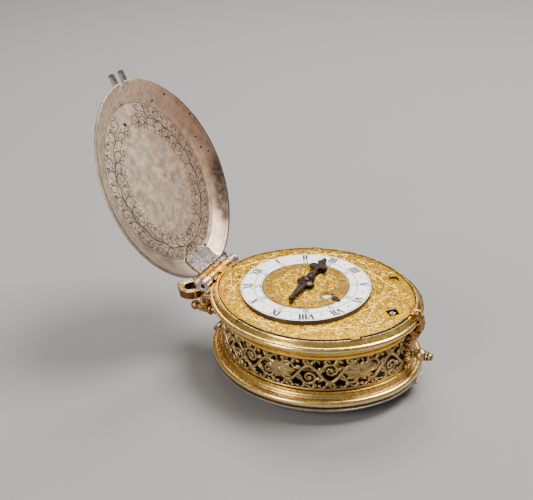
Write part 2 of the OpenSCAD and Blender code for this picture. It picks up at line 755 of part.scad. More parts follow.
// Dial
module dial_plate() {
    z = dial_z - dial_t;
    color("gold") difference() {
        union() {
            oval_plate(-dial_inset, z, dial_t);
            translate([0, side_y]) rotate(tab_angle)
                translate([side_r - dial_inset - 1, -1.5, z]) cube([1.9, 3, dial_t]);
            mirror([0, 1, 0]) mirror([1, 0, 0]) translate([0, side_y]) rotate(-71)
                translate([side_r - dial_inset - 1, -1.5, z]) cube([1.9, 3, dial_t]);
            block(hinge_x, -half_len + 3, -mid_barrel_w/2, mid_barrel_w/2, z, dial_z);
            rod_y(hinge_x, front_axis_z, -mid_barrel_w/2, mid_barrel_w/2, barrel_r);
        }
        rod_y(hinge_x, front_axis_z, -mid_barrel_w, mid_barrel_w, pin_r + fit);
        at(dial_c, z - eps) cylinder(h = dial_t + 2*eps, r = arbor_r + 1.3);
        at(diamond_c, z - eps) rotate(45) translate([-diamond_side/2, -diamond_side/2, 0])
            cube([diamond_side, diamond_side, dial_t + 2*eps]);
        at(crescent_c, z - eps) difference() {
            cylinder(h = dial_t + 2*eps, r = 1.9);
            translate([0.2, -1.3, 0]) cylinder(h = dial_t + 2*eps, r = 1.6);
        }
    }
}

module chapter_ring() {
    color("silver") at(dial_c, dial_z) difference() {
        cylinder(h = ring_h, r = ring_outer_r, $fn = 120);
        translate([0, 0, -eps]) cylinder(h = ring_h + 2*eps, r = ring_inner_r, $fn = 120);
    }
}

module moon_disc() {
    color("whitesmoke") at(dial_c, dial_z) difference() {
        cylinder(h = lunar_top - lunar_t - gap, r = ring_inner_r - 0.1);
        translate([0, 0, -eps]) cylinder(h = lunar_top + 2*eps, r = arbor_r + 1.3);
    }
}

module lunar_dial() {
    pipe_z = lunar_high_z + lunar_wheel_t;
    color("gold") at(dial_c, 0) difference() {
        union() {
            translate([0, 0, dial_z + lunar_top - lunar_t]) cylinder(h = lunar_t, r = ring_inner_r - 0.12);
            translate([0, 0, pipe_z]) cylinder(h = dial_z + lunar_top - pipe_z, r = arbor_r + 1);
        }
        translate([0, 0, dial_z - far]) cylinder(h = 2*far, r = arbor_r + fit);
        at(polar([0, 0], aperture_at, moon_angle), dial_z) cylinder(h = 5, r = aperture_r);
    }
}

finger_t = 0.4;
stud_t = 0.55;

module lunar_finger() {
    color("dimgray") at(dial_c, dial_z + lunar_top) rotate(moon_angle) {
        linear_extrude(finger_t) polygon([
            [14.3, -0.9], [15.6, -1.3], [17, -0.5], [18.4, 0], [17, 0.5], [15.6, 1.3], [14.3, 0.9]]);
        translate([15.3, 0, 0]) cylinder(h = stud_t, r = 0.6);
    }
}

module hour_hand() {
    z = dial_z + lunar_top + stud_t + gap;
    collar_h = stud_t + 0.1;
    color("dimgray") at(dial_c, z) rotate(hand_angle) {
        difference() {
            union() {
                rotate_extrude() polygon([
                    [0, 0], [3.2, 0], [3.4, 0.8], [2.7, 1.3], [2.2, 1.5], [1.6, 2.2], [0.9, 2.5], [0, 2.6]]);
                linear_extrude(1) polygon([[2, -1.1], [5.4, -1.6], [7.4, -0.8], [9.2, -1], [9.8, -0.7],
                                           [9.8, 0.7], [9.2, 1], [7.4, 0.8], [5.4, 1.6], [2, 1.1]]);
                linear_extrude(1.2) {
                    translate([hand_len - 2.6, 0]) circle(1.7);
                    for (s = [-1, 1]) translate([hand_len - 6, s*2]) circle(1.7);
                    translate([hand_len - 9, -1]) square([6, 2]);
                    translate([hand_len, 0]) rotate(45) square(1.4, center = true);
                }
                linear_extrude(1) polygon([[-2, -1.5], [-tail_len + 2, -0.6], [-tail_len + 1, -0.6],
                                           [-tail_len + 1, 0.6], [-tail_len + 2, 0.6], [-2, 1.5]]);
                translate([-tail_len + 0.9, 0, 0]) cylinder(h = 1.1, r = 0.9);
                translate([0, 0, -collar_h]) cylinder(h = collar_h, r = 2.3);
            }
            translate([0, 0, -eps]) cylinder(h = 2 + eps, r = arbor_r);
        }
    }
}

module hour_wheel() {
    color("gold") {
        at(dial_c, hour_z)
            crossed_wheel([hour_ratio[1], hour_m], gap_to(dial_c, fusee_c, hour_ratio[1]), hour_t);
        at(dial_c, lunar_low_z)
            pinion([lunar_leaves, lunar_low_m], tooth_to(dial_c, lunar_c), lunar_wheel_t);
        at(dial_c, front_plate_z + 0.2) cylinder(h = dial_z + lunar_top + 2 - front_plate_z, r = arbor_r);
    }
}

lunar_low_m = 2*lunar_span/(lunar_leaves + lunar_teeth[0]);

module lunar_intermediate() {
    color("gold") difference() {
        union() {
            at(lunar_c, lunar_low_z) crossed_wheel([lunar_teeth[0], lunar_low_m],
                gap_to(lunar_c, dial_c, lunar_teeth[0]), lunar_wheel_t, 4, 2.2);
            at(lunar_c, lunar_low_z) pinion([lunar_leaves, lunar_m], tooth_to(lunar_c, dial_c),
                lunar_high_z + lunar_wheel_t - lunar_low_z);
        }
        at(lunar_c, 0) cylinder(h = far, r = 0.5 + fit);
    }
}

module lunar_stud() {
    color("steelblue") {
        at(lunar_c, hour_z + hour_t + 0.08) cylinder(h = dial_z - dial_t - hour_z - hour_t - 0.08, r = 0.5);
        at(lunar_c, hour_z + hour_t + 0.04) cylinder(h = 0.1, r = 0.8);
    }
}

module lunar_wheel() {
    color("gold") at(dial_c, lunar_high_z) difference() {
        crossed_wheel([lunar_teeth[1], lunar_m], gap_to(dial_c, lunar_c, lunar_teeth[1]),
                      lunar_wheel_t, 4, 2.4);
        translate([0, 0, -eps]) cylinder(h = lunar_wheel_t + 2*eps, r = arbor_r + fit);
    }
}

module dial_feet() {
    color("gold") for (p = foot_spots) at(p, front_plate_z + plate_t) {
        cylinder(h = motion_gap, r = 0.9);
        cylinder(h = 0.6, r = 1.5);
    }
}

// Frame
module frame_holes(z) {
    for (p = pivot_spots) at(p, z - eps) cylinder(h = plate_t + 2*eps, r = pivot_r + fit);
}

module pillar_plate() {
    color("gold") difference() {
        oval_plate(-plate_inset, front_plate_z, plate_t);
        frame_holes(front_plate_z);
        at(dial_c, front_plate_z - eps) cylinder(h = plate_t + 2*eps, r = arbor_r + fit);
        at(fusee_c, front_plate_z - eps) cylinder(h = plate_t + 2*eps, r = 1 + fit);
        at(barrel_c, front_plate_z - eps) cylinder(h = plate_t + 2*eps, r = 1);
        at(strike_c, front_plate_z - eps) cylinder(h = plate_t + 2*eps, r = 1 + fit);
        at(hammer_c, front_plate_z - eps) cylinder(h = plate_t + 2*eps, r = arbor_r + fit);
        at(verge_c, front_plate_z - eps) cylinder(h = plate_t + 2*eps, r = staff_r + fit);
        at(diamond_c, front_plate_z - eps) cylinder(h = plate_t + 2*eps, r = 1 + fit);
    }
}

module top_plate() {
    color("gold") difference() {
        union() {
            oval_plate(-plate_inset, back_plate_z, plate_t);
            at(count_c, back_plate_z - 1.8) cylinder(h = 2, r = 0.7);
        }
        frame_holes(back_plate_z);
        at(fusee_c, back_plate_z - eps) cylinder(h = plate_t + 2*eps, r = 1 + fit);
        at(barrel_c, back_plate_z - eps) cylinder(h = plate_t + 2*eps, r = 1);
        at(strike_c, back_plate_z - eps) cylinder(h = plate_t + 2*eps, r = 1 + fit);
        at(hammer_c, back_plate_z - eps) cylinder(h = plate_t + 2*eps, r = arbor_r + fit);
        at(verge_c, back_plate_z - eps) cylinder(h = plate_t + 2*eps, r = 0.9);
    }
}

module pillars() {
    color("gold") for (p = pillar_spots) at(p, back_plate_z + plate_t) rotate_extrude() polygon([
        [0, 0], [1.6, 0], [1.6, 0.8], [pillar_r, 1.4], [pillar_r, pillar_h/2 - 1.2],
        [1.5, pillar_h/2 - 0.5], [1.5, pillar_h/2 + 0.5], [pillar_r, pillar_h/2 + 1.2],
        [pillar_r, pillar_h - 1.4], [1.6, pillar_h - 0.8], [1.6, pillar_h], [0, pillar_h]]);
}

module frame_screws() {
    color("steelblue") {
        for (p = pillar_spots) at(p, back_plate_z - 0.6) cylinder(h = 0.6, r = 1.3);
        at(cock_foot, cock_z - 0.5) cylinder(h = 0.5, r = 1.3);
    }
}

// Blocks that carry the crown wheel's level arbor.
module potences() {
    color("gold") at(contrate_c, 0) rotate(crown_dir) difference() {
        for (x = [2.2, 7.6]) block(x, x + 1.2, -1.3, 1.3, back_plate_z + plate_t, crown_z + 0.9);
        translate([0, 0, crown_z]) rotate([0, 90, 0]) cylinder(h = 20, r = 0.45 + fit);
    }
}

module balance_cock() {
    color("gold") difference() {
        union() {
            at(verge_c, cock_z) cylinder(h = 1, r = 4.2);
            at(cock_foot, cock_z) cylinder(h = back_plate_z - cock_z, r = 2);
            at(verge_c, cock_z) rotate(bearing(verge_c, cock_foot)) translate([2, -1.5, 0])
                cube([10, 3, 1]);
        }
        at(verge_c, cock_z + 0.4) cylinder(h = 2, r = staff_r + fit);
        for (i = [0:4]) at(polar(verge_c, 2.7, 72*i + 36), cock_z - eps) cylinder(h = 3, r = 0.6);
    }
}

// Going train
module barrel_arbor() {
    color("steelblue") {
        at(barrel_c, back_plate_z - 2.6) cylinder(h = pillar_h + 2*plate_t + 2.5, r = 1);
        at(barrel_c, back_plate_z - 1.2) rotate(15) linear_extrude(0.9)
            polygon([for (i = [0:15], s = [0, 1]) polar([0, 0], s == 0 ? 3.6 : 2.9, 22.5*i + 3*s)]);
    }
}

module barrel_click() {
    color("steelblue") at(polar(barrel_c, 5.6, 50), back_plate_z - 1.2) {
        cylinder(h = 1.2, r = 1);
        rotate(170) linear_extrude(0.9) polygon([[-0.5, -0.9], [2.6, -0.4], [2.9, 0.3], [-0.5, 0.9]]);
    }
}

module going_barrel() {
    color("gold") at(barrel_c, drum_z) difference() {
        cylinder(h = drum_h, r = barrel_drum_r);
        translate([0, 0, 0.8]) cylinder(h = drum_h - 1.6, r = barrel_drum_r - 0.8);
        translate([0, 0, -eps]) cylinder(h = drum_h + 2*eps, r = 1 + fit);
    }
}

// The mainspring is one flat strip, wound from the wall of the drum inwards.
module mainspring() {
    turns = 3.5;
    steps = 84;
    r1 = barrel_drum_r - 0.8;
    pitch = 0.75;
    function spiral(r) =
        [for (i = [0:steps]) let (a = 360*turns*i/steps) polar([0, 0], r - pitch*a/360, a)];
    color("steelblue") at(barrel_c, drum_z + 1.1) linear_extrude(drum_h - 2.2)
        polygon(concat(spiral(r1), reversed(spiral(r1 - 0.3))));
}

// The fusee's radius falls from turn to turn, with a groove in each.
fusee_turns = 6;
fusee_top_r = fusee_r*0.53;
fusee_step = drum_h/fusee_turns;
function turn_r(i) = fusee_r - (fusee_r - fusee_top_r)*i/(fusee_turns - 1);

module fusee() {
    color("goldenrod") at(fusee_c, drum_z) rotate_extrude() polygon(concat(
        [[0, 0], [fusee_r, 0]],
        [for (i = [0:fusee_turns - 1]) each [[turn_r(i), fusee_step*(i + 0.1)],
            [turn_r(i) - 0.35, fusee_step*(i + 0.5)], [turn_r(i), fusee_step*(i + 0.9)]]],
        [[fusee_top_r, drum_h], [0, drum_h]]));
}

module great_wheel() {
    color("gold") {
        at(fusee_c, low_z) crossed_wheel(great_g, tooth_to(fusee_c, second_c), wheel_t, 4, 3);
        at(fusee_c, low_z + wheel_t) cylinder(h = drum_z - low_z - wheel_t, r = 2);
        at(fusee_c, back_plate_z - 2.6) cylinder(h = low_z - back_plate_z + 2.6, r = 1);
        at(fusee_c, drum_z + drum_h) cylinder(h = hour_z - drum_z - drum_h, r = 1);
        at(fusee_c, hour_z) pinion([hour_ratio[0], hour_m], tooth_to(fusee_c, dial_c), hour_t);
    }
}

// The gut line leaves the fusee and reaches the barrel on the same side of both.
module gut_line() {
    line_r = 0.25;
    d = norm(barrel_c - fusee_c);
    a = bearing(fusee_c, barrel_c);
    r_fusee = turn_r(2) + line_r + fit;
    r_barrel = barrel_drum_r + line_r + fit;
    lean = asin((r_barrel - r_fusee)/d);
    color("wheat") at(polar(fusee_c, r_fusee, a + 90 + lean), drum_z + 2.5*fusee_step) rotate(a + lean)
        rotate([0, 90, 0]) cylinder(h = d*cos(lean), r = line_r);
}

module second_wheel() {
    color("gold") {
        arbor(second_c);
        at(second_c, low_z) pinion(second_p, gap_to(second_c, fusee_c, second_p[0]), wheel_t);
        at(second_c, high_z) crossed_wheel(second_g, tooth_to(second_c, contrate_c), high_t);
    }
}

module contrate_wheel() {
    plate_z = crown_z + 1.9;
    color("gold") {
        arbor(contrate_c);
        at(contrate_c, high_z) pinion(contrate_p, gap_to(contrate_c, second_c, contrate_p[0]), high_t);
        at(contrate_c, plate_z) linear_extrude(0.6) {
            difference() {
                circle(contrate_r + 0.5);
                circle(contrate_r - 0.9);
            }
            for (i = [0:3]) rotate(90*i + 45) translate([0, -0.4]) square([contrate_r - 0.6, 0.8]);
            circle(1.5);
        }
        at(contrate_c, plate_z - 0.85) for (i = [0:contrate_teeth - 1])
            rotate(crown_dir + 360*(i + 0.5)/contrate_teeth)
                translate([contrate_r - 0.5, -0.14, 0]) cube([1, 0.28, 0.9]);
    }
}

module crown_wheel() {
    cut = 360/crown_teeth;
    ring_r = 3.9;
    color("gold") at(contrate_c, crown_z) rotate(crown_dir) rotate([0, 90, 0]) {
        translate([0, 0, 1.9]) cylinder(h = 8.6, r = 0.45);
        translate([0, 0, 4.5]) linear_extrude(1.2) rotate(180)
            polygon(gear_points(crown_leaves, crown_m, 0.9, 0.8, 0.3));
        translate([0, 0, 10]) difference() {
            cylinder(h = 2.4, r = ring_r);
            translate([0, 0, 0.6]) cylinder(h = 3, r = ring_r - 0.5);
            for (i = [0:crown_teeth - 1]) rotate(i*cut) translate([0, 0, 1.1])
                rotate([90, 0, 90]) linear_extrude(5) polygon([[0.3, 0], [1.55, 0], [1.65, 2], [-0.1, 2]]);
        }
    }
}

module verge() {
    color("steelblue") {
        at(verge_c, cock_z + 0.45) cylinder(h = front_plate_z + 0.5*plate_t - cock_z - 0.45, r = staff_r);
        for (s = [-1, 1]) at(verge_c, crown_z + s*3.2 - 0.6) rotate(crown_dir + 180 + s*48)
            translate([0, -0.2, 0]) cube([1.2, 0.4, 1.2]);
    }
}

module balance_wheel() {
    color("gold") at(verge_c, balance_z) difference() {
        linear_extrude(0.8) {
            difference() {
                circle(balance_r);
                circle(balance_r - 1.2);
            }
            circle(1.4);
            for (i = [0:2]) rotate(120*i + 30) translate([0, -0.5]) square([balance_r - 1, 1]);
        }
        translate([0, 0, -eps]) cylinder(h = 3, r = staff_r);
    }
}

// Strike train
module strike_barrel() {
    color("gold") {
        at(strike_c, back_plate_z - 2.6) cylinder(h = pillar_h + 2*plate_t + 2.5, r = 1);
        at(strike_c, low_z) linear_extrude(wheel_t) wheel_teeth(strike_g, tooth_to(strike_c, pinwheel_c));
        at(strike_c, low_z + wheel_t)
            cylinder(h = high_z - pin_drop - gap - low_z - wheel_t, r = strike_drum_r);
        at(strike_c, back_plate_z - 1.4) pinion(count_p, tooth_to(strike_c, count_c), 0.9);
    }
}

module pin_wheel() {
    color("gold") {
        arbor(pinwheel_c);
        at(pinwheel_c, low_z) pinion(pinwheel_p, gap_to(pinwheel_c, strike_c, pinwheel_p[0]), wheel_t);
        at(pinwheel_c, high_z) crossed_wheel(pinwheel_g, tooth_to(pinwheel_c, warn_c), high_t);
        for (i = [0:7]) at(polar(pinwheel_c, 6.1, 45*i), high_z - pin_drop)
            cylinder(h = pin_drop + 0.1, r = 0.3);
    }
}

module warning_wheel() {
    color("gold") {
        arbor(warn_c);
        at(warn_c, high_z) pinion(warn_p, gap_to(warn_c, pinwheel_c, warn_p[0]), high_t);
        at(warn_c, warn_z) crossed_wheel(warn_g, tooth_to(warn_c, fly_c), high_t);
    }
}

module fly() {
    vane_len = 0.94*pillar_h;
    color("gold") {
        arbor(fly_c);
        at(fly_c, warn_z) pinion(fly_p, gap_to(fly_c, warn_c, fly_p[0]), high_t);
        at(fly_c, warn_z + 1.6) rotate(60) translate([-vane_len/2, -arbor_r - 0.3, 0])
            cube([vane_len, 0.5, 0.4*pillar_h]);
    }
}

module count_wheel() {
    starts = [0, 2, 5, 9, 14, 20, 27, 35, 44, 54, 65];
    color("gold") at(count_c, back_plate_z - 1.4) difference() {
        linear_extrude(0.9) wheel_teeth(count_g, gap_to(count_c, strike_c, count_g[0]));
        translate([0, 0, -eps]) cylinder(h = 3, r = 0.7 + fit);
        for (s = starts) rotate(s*360/78) translate([6.6, 0, -eps]) cylinder(h = 3, r = 0.35);
    }
}

module hammer() {
    arm_z = bell_z + bell_h + 0.6;
    head = [hammer_c[0] - 9.8, hammer_c[1] + 0.6];
    color("steelblue") {
        at(hammer_c, arm_z) cylinder(h = front_plate_z + plate_t - 0.4 - arm_z, r = arbor_r);
        at(hammer_c, arm_z) cylinder(h = 0.9, r = 1.2);
        at(hammer_c, arm_z) rotate(bearing(hammer_c, head)) translate([0, -0.5, 0]) cube([9.8, 1, 0.9]);
        at(head, arm_z - 2.2) cylinder(h = 3.1, r = 1.3);
        at(hammer_c, high_z - 1.2) rotate(bearing(hammer_c, pinwheel_c)) translate([0, -0.4, 0])
            cube([9.2, 0.8, 0.8]);
    }
}

// Square arbor under the diamond-shaped hole, with the lever that silences the strike.
module silent_lever() {
    color("dimgray") at(diamond_c, 0) {
        translate([0, 0, front_plate_z - 1]) cylinder(h = motion_gap + plate_t + 0.6, r = 1);
        difference() {
            translate([-0.95, -0.95, front_plate_z + motion_gap + plate_t - 0.5]) cube([1.9, 1.9, 1.4]);
            translate([0, 0, dial_z - 1.6]) cylinder(h = 3, r = 0.5);
        }
        translate([0, 0, front_plate_z - 1]) rotate(155) translate([0, -0.7, 0]) cube([9, 1.4, 0.7]);
    }
}

case_band();
upper_moulding();
lower_moulding();
case_hinge();
front_hinge_pin();
back_case_hinge();
back_hinge_pin();
pendant_stem();
pendant_pin();
finial();
catch_strap();
bell();
bell_bridge();
bell_screw();
front_cover();
front_cover_hinge();
front_clasp();
back_cover();
back_cover_hinge();
pendant_loop();
front_catch();
dial_plate();
chapter_ring();
moon_disc();
dial_feet();
lunar_stud();
pillar_plate();
pillars();
top_plate();
frame_screws();
potences();
balance_cock();
barrel_arbor();
barrel_click();
gut_line();
hour_hand();
hour_wheel();
lunar_dial();
lunar_finger();
lunar_wheel();
lunar_intermediate();
fusee();
great_wheel();
going_barrel();
mainspring();
second_wheel();
contrate_wheel();
crown_wheel();
balance_wheel();
verge();
strike_barrel();
pin_wheel();
warning_wheel();
fly();
count_wheel();
hammer();
silent_lever();
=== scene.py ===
"""Looks of the oval calendar clock: metals, engraving, pierced band, numerals, light and camera."""
import json
import random
from math import atan2, cos, hypot, pi, radians, sin

import bpy
from mathutils import Matrix, Vector


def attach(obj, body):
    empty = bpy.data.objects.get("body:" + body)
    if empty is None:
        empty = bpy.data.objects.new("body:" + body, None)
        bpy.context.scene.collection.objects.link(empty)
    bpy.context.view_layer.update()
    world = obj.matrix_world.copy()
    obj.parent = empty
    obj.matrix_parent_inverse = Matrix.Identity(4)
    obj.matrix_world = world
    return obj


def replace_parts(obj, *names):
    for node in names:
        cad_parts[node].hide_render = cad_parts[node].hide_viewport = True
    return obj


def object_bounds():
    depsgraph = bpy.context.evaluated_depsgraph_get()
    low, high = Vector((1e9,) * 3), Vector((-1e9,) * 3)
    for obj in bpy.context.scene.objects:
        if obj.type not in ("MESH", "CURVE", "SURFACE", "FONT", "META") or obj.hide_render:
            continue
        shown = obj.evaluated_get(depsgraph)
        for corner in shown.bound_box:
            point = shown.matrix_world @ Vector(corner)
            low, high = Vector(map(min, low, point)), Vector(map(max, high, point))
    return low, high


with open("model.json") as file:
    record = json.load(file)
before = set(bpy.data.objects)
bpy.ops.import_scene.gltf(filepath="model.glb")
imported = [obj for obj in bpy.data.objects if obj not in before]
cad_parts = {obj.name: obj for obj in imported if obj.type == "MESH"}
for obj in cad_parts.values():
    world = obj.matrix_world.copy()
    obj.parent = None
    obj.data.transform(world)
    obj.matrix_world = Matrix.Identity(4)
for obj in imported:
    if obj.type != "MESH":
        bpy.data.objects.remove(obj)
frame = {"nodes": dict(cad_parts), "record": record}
cad_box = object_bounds()
MM = 0.001
Y, Z = 1, 2

# The case outline is a four-centred oval; d is an offset outside it. Millimetres throughout.
HALF_LEN, HALF_WID = 40, 34.5
END_R = 2 * HALF_WID - HALF_LEN
END_X = HALF_LEN - END_R
SIDE_Y = 0.75 * END_X
SIDE_R = END_R + 1.25 * END_X
SEAM = atan2(3, 4)

DIAL_Z = 35.0
DIAL_C = (-3.95, 0.0)
DIAL_TURN = radians(-4)
RING_OUT, RING_H = 25.3, 1.4
RING_Z = DIAL_Z + RING_H
LUNAR_Z = DIAL_Z + 1.75
MOON_DIR = radians(-18.5)
MOON_R, MOON_HOLE_R = 11.6, 2.9
HAND_DIR = radians(91)
HAND_Z = LUNAR_Z + 0.85
BAND_LOW, BAND_HIGH, BAND_D = 12.4, 27.0, -1.3
HINGE_X, HINGE_Z = -43.5, 33.0
OPEN_ANGLE = radians(115)
COVER_RIM_Z, COVER_DEPTH, COVER_RIM_D = 35.8, 4.6, 1.75
COVER_FLOOR_Z = COVER_RIM_Z + COVER_DEPTH
DIAMOND_C = (32.8, -2.4)
CRESCENT_C = (24.7, 20.9)

# Camera: azimuth, elevation and roll of the photograph, looking at a point left of the case.
CAM_AZ, CAM_EL, CAM_ROLL = radians(28.883), radians(28.254), radians(-2.298)
CAM_DIST = 350
CAM_LOOK = Vector((-25.615, 8.835, 42.9))
CAM_FOCAL_PX = 865.546
IMAGE_W = 533


def add_camera():
    back = Vector((sin(CAM_AZ) * cos(CAM_EL), -cos(CAM_AZ) * cos(CAM_EL), sin(CAM_EL)))
    right = Vector((cos(CAM_AZ), sin(CAM_AZ), 0))
    up = back.cross(right)
    r2 = cos(CAM_ROLL) * right + sin(CAM_ROLL) * up
    u2 = -sin(CAM_ROLL) * right + cos(CAM_ROLL) * up
    cam = bpy.data.objects.new("camera", bpy.data.cameras.new("camera"))
    bpy.context.scene.collection.objects.link(cam)
    cam.data.sensor_width = 36
    cam.data.lens = CAM_FOCAL_PX / IMAGE_W * 36
    cam.data.clip_start = 0.01
    m = Matrix((r2, u2, back)).transposed().to_4x4()
    m.translation = (CAM_LOOK + back * CAM_DIST) * MM
    cam.matrix_world = m
    bpy.context.scene.camera = cam


add_camera()


# Oval helpers
def oval_len(d):
    return 4 * ((END_R + d) * SEAM + (SIDE_R + d) * (pi / 2 - SEAM))


def oval_at(s, d):
    """Point and outward normal at arc length s (mm) round the oval of offset d, from +X towards +Y."""
    a = (END_R + d) * SEAM
    b = (SIDE_R + d) * (pi / 2 - SEAM)
    s %= 4 * (a + b)
    quarter = a + b
    q, t = int(s // quarter) % 4, s % quarter
    if q % 2:
        t = quarter - t
    if t < a:
        ang = t / (END_R + d)
        x, y = END_X + (END_R + d) * cos(ang), (END_R + d) * sin(ang)
    else:
        ang = SEAM + (t - a) / (SIDE_R + d)
        x, y = (SIDE_R + d) * cos(ang), -SIDE_Y + (SIDE_R + d) * sin(ang)
    sx = 1 if q in (0, 3) else -1
    sy = 1 if q in (0, 1) else -1
    return x * sx, y * sy, cos(ang) * sx, sin(ang) * sy


def oval_points(d, n):
    return [oval_at(oval_len(d) * i / n, d)[:2] for i in range(n)]


def oval_offset(x, y):
    """How far a point lies outside the rim outline."""
    x, y = abs(x), abs(y)
    if x > END_X and atan2(y, x - END_X) <= SEAM:
        return hypot(x - END_X, y) - END_R
    return hypot(x, y + SIDE_Y) - SIDE_R


# Places: each maps flat drawing coordinates (u, v) and a height h above the surface to 3-D, in mm.
def on_level(z, c=(0, 0)):
    def place(u, v, h):
        return c[0] + u, c[1] + v, z + h
    return place


def on_band(u, v, h):
    x, y, nx, ny = oval_at(u, BAND_D)
    return x + nx * h, y + ny * h, v


def opened(p):
    """Turns a point of the shut front cover to where it stands at rest."""
    x, z = p[0] - HINGE_X, p[2] - HINGE_Z
    c, s = cos(OPEN_ANGLE), sin(OPEN_ANGLE)
    return HINGE_X + x * c - z * s, p[1], HINGE_Z + x * s + z * c


def on_cover_floor(u, v, h):
    return opened((u, v, COVER_FLOOR_Z - h))


# Meshes
class Build:
    """Collects the vertices and faces of one piece, in mm."""

    def __init__(self):
        self.v, self.f, self.m = [], [], []

    def add(self, verts, faces, mat=0):
        n = len(self.v)
        self.v += [tuple(p) for p in verts]
        self.f += [tuple(n + i for i in f) for f in faces]
        self.m += [mat] * len(faces)

    def make(self, name, body, slot, materials, smooth=True):
        me = bpy.data.meshes.new(name)
        me.from_pydata([(x * MM, y * MM, z * MM) for x, y, z in self.v], [], self.f)
        for mat in materials:
            me.materials.append(mat)
        me.polygons.foreach_set("material_index", self.m)
        me.validate()
        me.update()
        if smooth:
            me.shade_smooth()
        ob = bpy.data.objects.new(name, me)
        bpy.context.scene.collection.objects.link(ob)
        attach(ob, body)
        return ob


def skin(rows, width, ring=True, loop=False):
    """Faces between rows of points; ring closes each row, loop joins the last row to the first."""
    faces = []
    for i in range(rows if loop else rows - 1):
        a, b = width * i, width * ((i + 1) % rows)
        for j in range(width if ring else width - 1):
            k = (j + 1) % width
            faces.append((a + j, a + k, b + k, b + j))
    return faces


def tangents(pts, closed=False):
    out = []
    n = len(pts)
    for i in range(n):
        if closed:
            a, b = pts[i - 1], pts[(i + 1) % n]
        else:
            a, b = pts[max(i - 1, 0)], pts[min(i + 1, n - 1)]
        dx, dy = b[0] - a[0], b[1] - a[1]
        k = hypot(dx, dy) or 1
        out.append((dx / k, dy / k))
    return out


def ribbon(build, place, pts, width, height, mat=0, closed=False, base=-0.02, taper=True):
    """A raised line with a peaked section along a polyline; width is a number or a function of 0..1."""
    n = len(pts)
    verts = []
    for i, ((u, v), (tu, tv)) in enumerate(zip(pts, tangents(pts, closed))):
        t = i / max(n - 1, 1)
        w = width(t) if callable(width) else width
        if taper and not closed:
            w *= min(1, 0.25 + 4 * min(t, 1 - t))
        w /= 2
        verts += [place(u - tv * w, v + tu * w, base), place(u, v, height),
                  place(u + tv * w, v - tu * w, base)]
    build.add(verts, skin(n, 3, False, closed), mat)


def strap(build, place, pts, width, h0, h1, closed=False):
    """A bar of pierced work: flat back at h0, domed face at h1; width is a number or a function of 0..1."""
    n = len(pts)
    edge, slope = h1 - 0.12, h1 - 0.06
    section = ((1, h0), (1, edge), (0.55, slope), (0, h1), (-0.55, slope), (-1, edge), (-1, h0))
    verts, faces = [], skin(n, 7, loop=closed)
    for i, ((u, v), (tu, tv)) in enumerate(zip(pts, tangents(pts, closed))):
        t = i / max(n - 1, 1)
        w = (width(t) if callable(width) else width) / 2
        for k, h in section:
            verts.append(place(u - tv * w * k, v + tu * w * k, h))
    if not closed:
        faces += [tuple(range(6, -1, -1)), tuple(7 * (n - 1) + j for j in range(7))]
    build.add(verts, faces)


def blob(build, place, c, r, h0, h1, sides, mat=0, shape=None):
    """A domed disc or leaf; shape(angle) scales the radius."""
    rings = ((1.0, h0), (1.0, h0 + 0.6 * (h1 - h0)), (0.8, h0 + 0.9 * (h1 - h0)), (0.4, h1))
    verts, faces = [], skin(len(rings), sides)
    for k, h in rings:
        for i in range(sides):
            a = 2 * pi * i / sides
            rr = r * k * (shape(a) if shape else 1)
            verts.append(place(c[0] + rr * cos(a), c[1] + rr * sin(a), h))
    verts.append(place(c[0], c[1], h1))
    last = (len(rings) - 1) * sides
    faces += [(last + i, last + (i + 1) % sides, last + sides) for i in range(sides)]
    faces.append(tuple(range(sides - 1, -1, -1)))
    build.add(verts, faces, mat)


def leaf(build, place, u, v, ang, length, width, h0, h1, mat=0, bend=0.0, lobes=0):
    """A pointed leaf with a raised midrib; lobes give it a scalloped edge."""
    n = 8
    verts = []
    for i in range(n + 1):
        t = i / n
        a = ang + bend * t
        cu = u + length * t * cos(ang + bend * t / 2)
        cv = v + length * t * sin(ang + bend * t / 2)
        w = width / 2 * sin(pi * min(1, 0.08 + 0.92 * t) ** 0.8)
        if lobes:
            w *= 1 + 0.28 * cos(2 * pi * lobes * t)
        du, dv = -sin(a) * w, cos(a) * w
        side_h = h1 * 0.7 + h0 * 0.3
        for k, h in ((1, h0), (0.8, side_h), (0, h1), (-0.8, side_h), (-1, h0)):
            verts.append(place(cu + du * k, cv + dv * k, h))
    build.add(verts, skin(n + 1, 5), mat)


def circle(c, r, n):
    return [(c[0] + r * cos(2 * pi * i / n), c[1] + r * sin(2 * pi * i / n)) for i in range(n)]


def curl(c, r, a0, turns, hand, r1, n):
    """A spiral of n steps from its outer end inwards to radius r1."""
    out = []
    for i in range(n + 1):
        rr, a = r * (1 - i / n) ** 0.85 + r1, a0 + hand * 2 * pi * turns * i / n
        out.append((c[0] + rr * cos(a), c[1] + rr * sin(a)))
    return out


